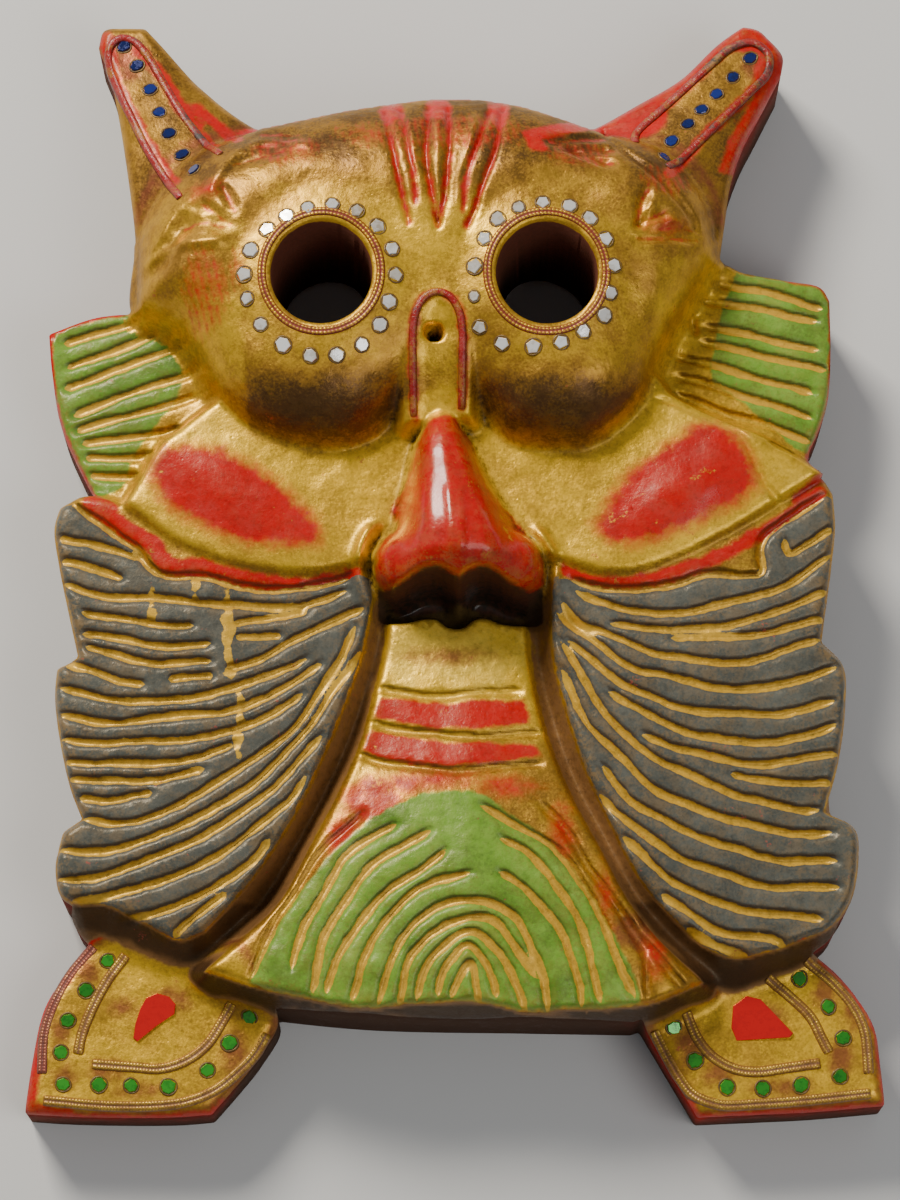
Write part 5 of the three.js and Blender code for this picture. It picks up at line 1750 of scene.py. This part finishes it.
LEFT_EYE_MIRRORS = [
    (-48, 92), (-42, 94.3), (-35, 95.3), (-28, 93.3), (-22, 88.7), (-18, 82.3), (-17, 74.5), (-18.7, 66.7),
    (-21.3, 60), (-26.3, 54.3), (-33.5, 51.2), (-41, 51), (-48.7, 54.2), (-55, 60.3), (-59, 68), (-60, 75),
    (-58.2, 82), (-53.5, 88),
]
RIGHT_EYE_MIRRORS = [
    (12, 91), (18, 94.3), (25, 96), (32.5, 95), (38.2, 91.3), (42.8, 85.2), (45, 77.5), (44, 69.5),
    (42.2, 63), (36.3, 58), (29.8, 54.7), (22, 53.5), (13.2, 55), (7, 59.8), (5.3, 68.3), (5.5, 77),
    (8.3, 85.3),
]
SMALLEST_MIRROR = (5.3, 68.3)
BLUE_MIRRORS = {
    "left_ear": [(-97, 152.8), (-93, 146.6), (-89, 138.7), (-86, 130.9), (-83, 123.6), (-79, 116.3),
                 (-74.9, 108.9)],
    "right_ear": [(86.2, 149), (81.2, 142.7), (76.2, 137), (71.7, 131.7), (67.6, 126.8), (62.6, 120.9),
                  (60.2, 113.9)],
}
GREEN_MIRRORS = {
    "left_foot": [(-98, -116), (-104, -124.3), (-109, -133), (-110.7, -142), (-110, -151), (-100, -151.2),
                  (-91, -151.4), (-80.5, -151.7), (-69.5, -147), (-63.5, -139.3), (-58, -132)],
    "right_foot": [(61.5, -135), (67.3, -144.3), (76.3, -151.8), (86.3, -152.2), (97, -151.2),
                   (108, -148.8), (109, -138), (105, -129), (97, -121)],
}
RED_TILES = {
    "left_foot": [(-84, -125.3), (-80.5, -126.3), (-78.7, -128.5), (-79, -131.2), (-84, -134.6),
                  (-89.3, -139), (-90.5, -138), (-90, -134), (-88.6, -129.5), (-87, -126.6)],
    "right_foot": [(82, -126), (86, -127), (95, -136.6), (94, -137.8), (79, -138.7), (77.6, -135),
                   (78.2, -128.8)],
}
TILE_RISE = 0.55       # how far a mirror stands out of the wood


def seat_frame(surface, x, y, reach=1.6):
    """Where a tile rests on the wood and the two directions along its face."""
    rise_x = (sample_at(surface, x + reach, y) - sample_at(surface, x - reach, y)) / (2 * reach)
    rise_y = (sample_at(surface, x, y + reach) - sample_at(surface, x, y - reach)) / (2 * reach)
    lean_x, lean_y = RNG.uniform(-0.05, 0.05, 2)
    u = np.array([1, 0, rise_x + lean_x])
    v = np.array([0, 1, rise_y + lean_y])
    u /= np.linalg.norm(u)
    normal = np.cross(u, v)
    normal /= np.linalg.norm(normal)
    return np.array([x, y, sample_at(surface, x, y)]), u, np.cross(normal, u), normal


def ragged_tile(radius, sides, stretch=1.0, turn=0.0):
    """The corners of a small tile nipped by hand."""
    angles = (np.arange(sides) + RNG.uniform(-0.16, 0.16, sides)) / sides * 2 * math.pi + RNG.uniform(0, 6)
    radii = radius * RNG.uniform(0.9, 1.08, sides)
    x, y = radii * np.cos(angles) * stretch, radii * np.sin(angles) / stretch
    c, s = math.cos(turn), math.sin(turn)
    return np.stack([x * c - y * s, x * s + y * c], 1)


def tile_shape(corners, place, u, v, normal, rise=TILE_RISE, chamfer=0.22):
    """Points and faces of one tile: a flat face, a chamfer and its sides going down into the bed."""
    middle = corners.mean(0)
    shrink = 1 - chamfer / np.abs(corners - middle).max()
    rings = [(corners - middle) * shrink + middle, corners, corners]
    levels = [rise, rise - chamfer, -0.8]
    points = []
    for ring, level in zip(rings, levels):
        points.append(place + ring[:, :1] * u + ring[:, 1:] * v + level * normal)
    size = len(corners)
    faces = [tuple(range(size)), tuple(reversed(range(2 * size, 3 * size)))]
    for row in (0, 1):
        for n in range(size):
            m = (n + 1) % size
            faces.append((row * size + n, (row + 1) * size + n, (row + 1) * size + m, row * size + m))
    return np.vstack(points), faces


BED_STEPS = 28         # steps round a tile
BED_SIDES = 8          # sides of the ring of gum
BED_TUBE = 0.32        # its radius
BED_OUT = 0.22         # its middle outside the tile


def bed_shape(corners, place, u, v, normal):
    """A low ring of gum round a tile."""
    middle = corners.mean(0)
    angles = np.linspace(0, 2 * math.pi, BED_STEPS, endpoint=False)
    own = np.arctan2(*(corners - middle).T[::-1])
    order = np.argsort(own)
    radii = np.hypot(*(corners - middle)[order].T)
    reach = np.interp(angles, own[order] % (2 * math.pi), radii, period=2 * math.pi)
    points, faces = [], []
    for k, angle in enumerate(angles):
        for n in range(BED_SIDES):
            lift = math.sin(n / BED_SIDES * 2 * math.pi) * BED_TUBE
            out = reach[k] + BED_OUT + math.cos(n / BED_SIDES * 2 * math.pi) * BED_TUBE
            spot = middle + out * np.array([math.cos(angle), math.sin(angle)])
            points.append(place + spot[0] * u + spot[1] * v + (lift - 0.05) * normal)
    for k in range(BED_STEPS):
        here, there = k * BED_SIDES, (k + 1) % BED_STEPS * BED_SIDES
        for n in range(BED_SIDES):
            m = (n + 1) % BED_SIDES
            faces.append((here + n, there + n, there + m, here + m))
    return np.array(points), faces


class Batch:
    """Collects small shapes into one mesh with a value for each shape."""

    def __init__(self):
        self.points, self.faces, self.values, self.count = [], [], [], 0

    def add(self, points, faces, value=0.0):
        self.points.append(points)
        self.faces += [tuple(n + self.count for n in face) for face in faces]
        self.values += [value] * len(points)
        self.count += len(points)

    def finish(self, name, field, smooth=False):
        mesh = bpy.data.meshes.new(name)
        mesh.from_pydata((np.vstack(self.points) * MM).tolist(), [], self.faces)
        mesh.polygons.foreach_set("use_smooth", np.full(len(mesh.polygons), smooth))
        mesh.update()
        add_field(mesh, field, self.values)
        return place_object(name, mesh)


def set_tile(tiles, beds, surface, spot, radius, sides, stretch=1.0, turn=0.0, glint=0.5):
    seat = seat_frame(surface, *spot)
    corners = ragged_tile(radius, sides, stretch, turn)
    # Each tile's painted glint, varied at random
    tiles.add(*tile_shape(corners, *seat), value=glint + RNG.uniform(-0.35, 0.35))
    beds.add(*bed_shape(corners, *seat))


def node_names(spots_by_place):
    return [f"{place}_mirror_{k + 1}"
            for place, spots in spots_by_place.items() for k in range(len(spots))]


# Deep colour, bright colour (a painted glint) and how much of a metal each glass looks
GLASS = {
    "clear": ((0.48, 0.40, 0.29), (0.99, 0.99, 0.98), 0.3),
    "blue": ((0.006, 0.012, 0.09), (0.025, 0.05, 0.36), 0.5),
    "green": ((0.012, 0.19, 0.01), (0.07, 0.56, 0.035), 0.5),
    "red": ((0.5, 0.003, 0.003), (0.72, 0.004, 0.003), 0.2),
}
NODES = {
    "clear": [],
    "blue": node_names(BLUE_MIRRORS),
    "green": node_names(GREEN_MIRRORS),
    "red": [f"{place}_red_mirror" for place in RED_TILES],
}


def set_mirrors(surface):
    """All mirrors, and under each one but the red tiles its bed of gilded gum."""
    beds = Batch()
    tiles = {colour: Batch() for colour in GLASS}
    for spot in LEFT_EYE_MIRRORS + RIGHT_EYE_MIRRORS:
        small = 0.72 if spot == SMALLEST_MIRROR else 1.0
        # The lower mirrors round the eyes get a stronger painted glint
        glint = float(np.interp(spot[1], [52, 66, 92], [0.95, 0.8, 0.45]))
        radius, sides = RNG.uniform(1.85, 2.2) * small, int(RNG.integers(5, 8))
        set_tile(tiles["clear"], beds, surface, spot, radius, sides, glint=glint)
    for spots in BLUE_MIRRORS.values():
        for spot in spots:
            set_tile(tiles["blue"], beds, surface, spot, RNG.uniform(1.75, 2.0), 7, 1.12, 0.6)
    for spots in GREEN_MIRRORS.values():
        for spot in spots:
            set_tile(tiles["green"], beds, surface, spot, RNG.uniform(1.95, 2.2), 7)
    for corners in RED_TILES.values():
        middle = np.array(corners, float).mean(0)
        seat = seat_frame(surface, *middle)
        nipped = (np.array(corners, float) - middle)[::-1]
        tiles["red"].add(*tile_shape(nipped, *seat, rise=0.6), value=0.8)
    for colour, glass in GLASS.items():
        name = f"{colour}_mirror"
        dress(tiles[colour].finish(name + "s", "glint"), mirror_glass(name, *glass), name, *NODES[colour])
    gum = bead_paint("gilded_gum", (0.1, 0.05, 0.02), -1.6, 0.6)
    dress(beds.finish("mirror_beds", "cavity", True), gum, "painted_wood")


# The mask itself

carving = carve_block()
body = build_body(carving, back_heights())
paint_body(body.data, carving)
dress(body, painted_wood(), "painted_wood", "mask_body")
calm_surface = blurred(carving.height, 1.0, 2)
lay_strips(calm_surface)
set_mirrors(calm_surface)


# Light, floor and camera

CAMERA_TILT = math.radians(13.0)      # how far below the face's own axis the photo was taken
CAMERA_DISTANCE = 1400.0
LOOK_AT = (-1.5, -12.0, 25.0)
FILM = 36.0                           # millimetres, on the frame's long side
LENS = 146.6


def build_camera():
    data = bpy.data.cameras.new("camera")
    data.lens = LENS
    data.sensor_fit = "AUTO"
    data.sensor_width = FILM
    camera = bpy.data.objects.new("camera", data)
    x, y, z = LOOK_AT
    camera.location = [
        x * MM,
        (y - CAMERA_DISTANCE * math.sin(CAMERA_TILT)) * MM,
        (z + CAMERA_DISTANCE * math.cos(CAMERA_TILT)) * MM,
    ]
    camera.rotation_euler = (CAMERA_TILT, 0, 0)
    bpy.context.scene.collection.objects.link(camera)
    bpy.context.scene.camera = camera


# Name, place in metres, side in metres, watts and colour of each light
LIGHTS = [
    ("key", (-0.7, 1.05, 1.1), 0.5, 34, (1.0, 0.95, 0.86)),
    ("fill", (0.8, -0.6, 1.3), 0.9, 7, (1, 1, 1)),
]


def area_light(name, place, size, power, colour):
    """A soft square light that looks at the mask from a place in metres."""
    data = bpy.data.lights.new(name, "AREA")
    data.shape = "RECTANGLE"
    data.size = size
    data.size_y = size
    data.energy = power
    data.color = colour
    light = bpy.data.objects.new(name, data)
    light.location = place
    light.rotation_euler = (-Vector(place)).to_track_quat("-Z", "Y").to_euler()
    bpy.context.scene.collection.objects.link(light)


FLOOR_REACH = 4.0      # metres from the mask to each side
FLOOR_COLOUR = (0.72, 0.71, 0.69, 1)
SKY_COLOUR = (0.9, 0.95, 1.0, 1)
SKY_STRENGTH = 0.2


def build_floor():
    size = FLOOR_REACH
    mesh = bpy.data.meshes.new("floor")
    corners = [(-size, -size, 0), (size, -size, 0), (size, size, 0), (-size, size, 0)]
    mesh.from_pydata(corners, [], [(0, 1, 2, 3)])
    floor = place_object("floor", mesh)
    material = bpy.data.materials.new("floor")
    material.use_nodes = True
    shader = material.node_tree.nodes["Principled BSDF"]
    shader.inputs["Base Color"].default_value = FLOOR_COLOUR
    shader.inputs["Roughness"].default_value = 0.8
    mesh.materials.append(material)


def build_world():
    world = bpy.data.worlds.new("studio")
    world.use_nodes = True
    background = world.node_tree.nodes["Background"]
    background.inputs["Color"].default_value = SKY_COLOUR
    background.inputs["Strength"].default_value = SKY_STRENGTH
    bpy.context.scene.world = world


build_camera()
build_floor()
build_world()
for name, place, size, power, colour in LIGHTS:
    area_light(name, place, size, power, colour)
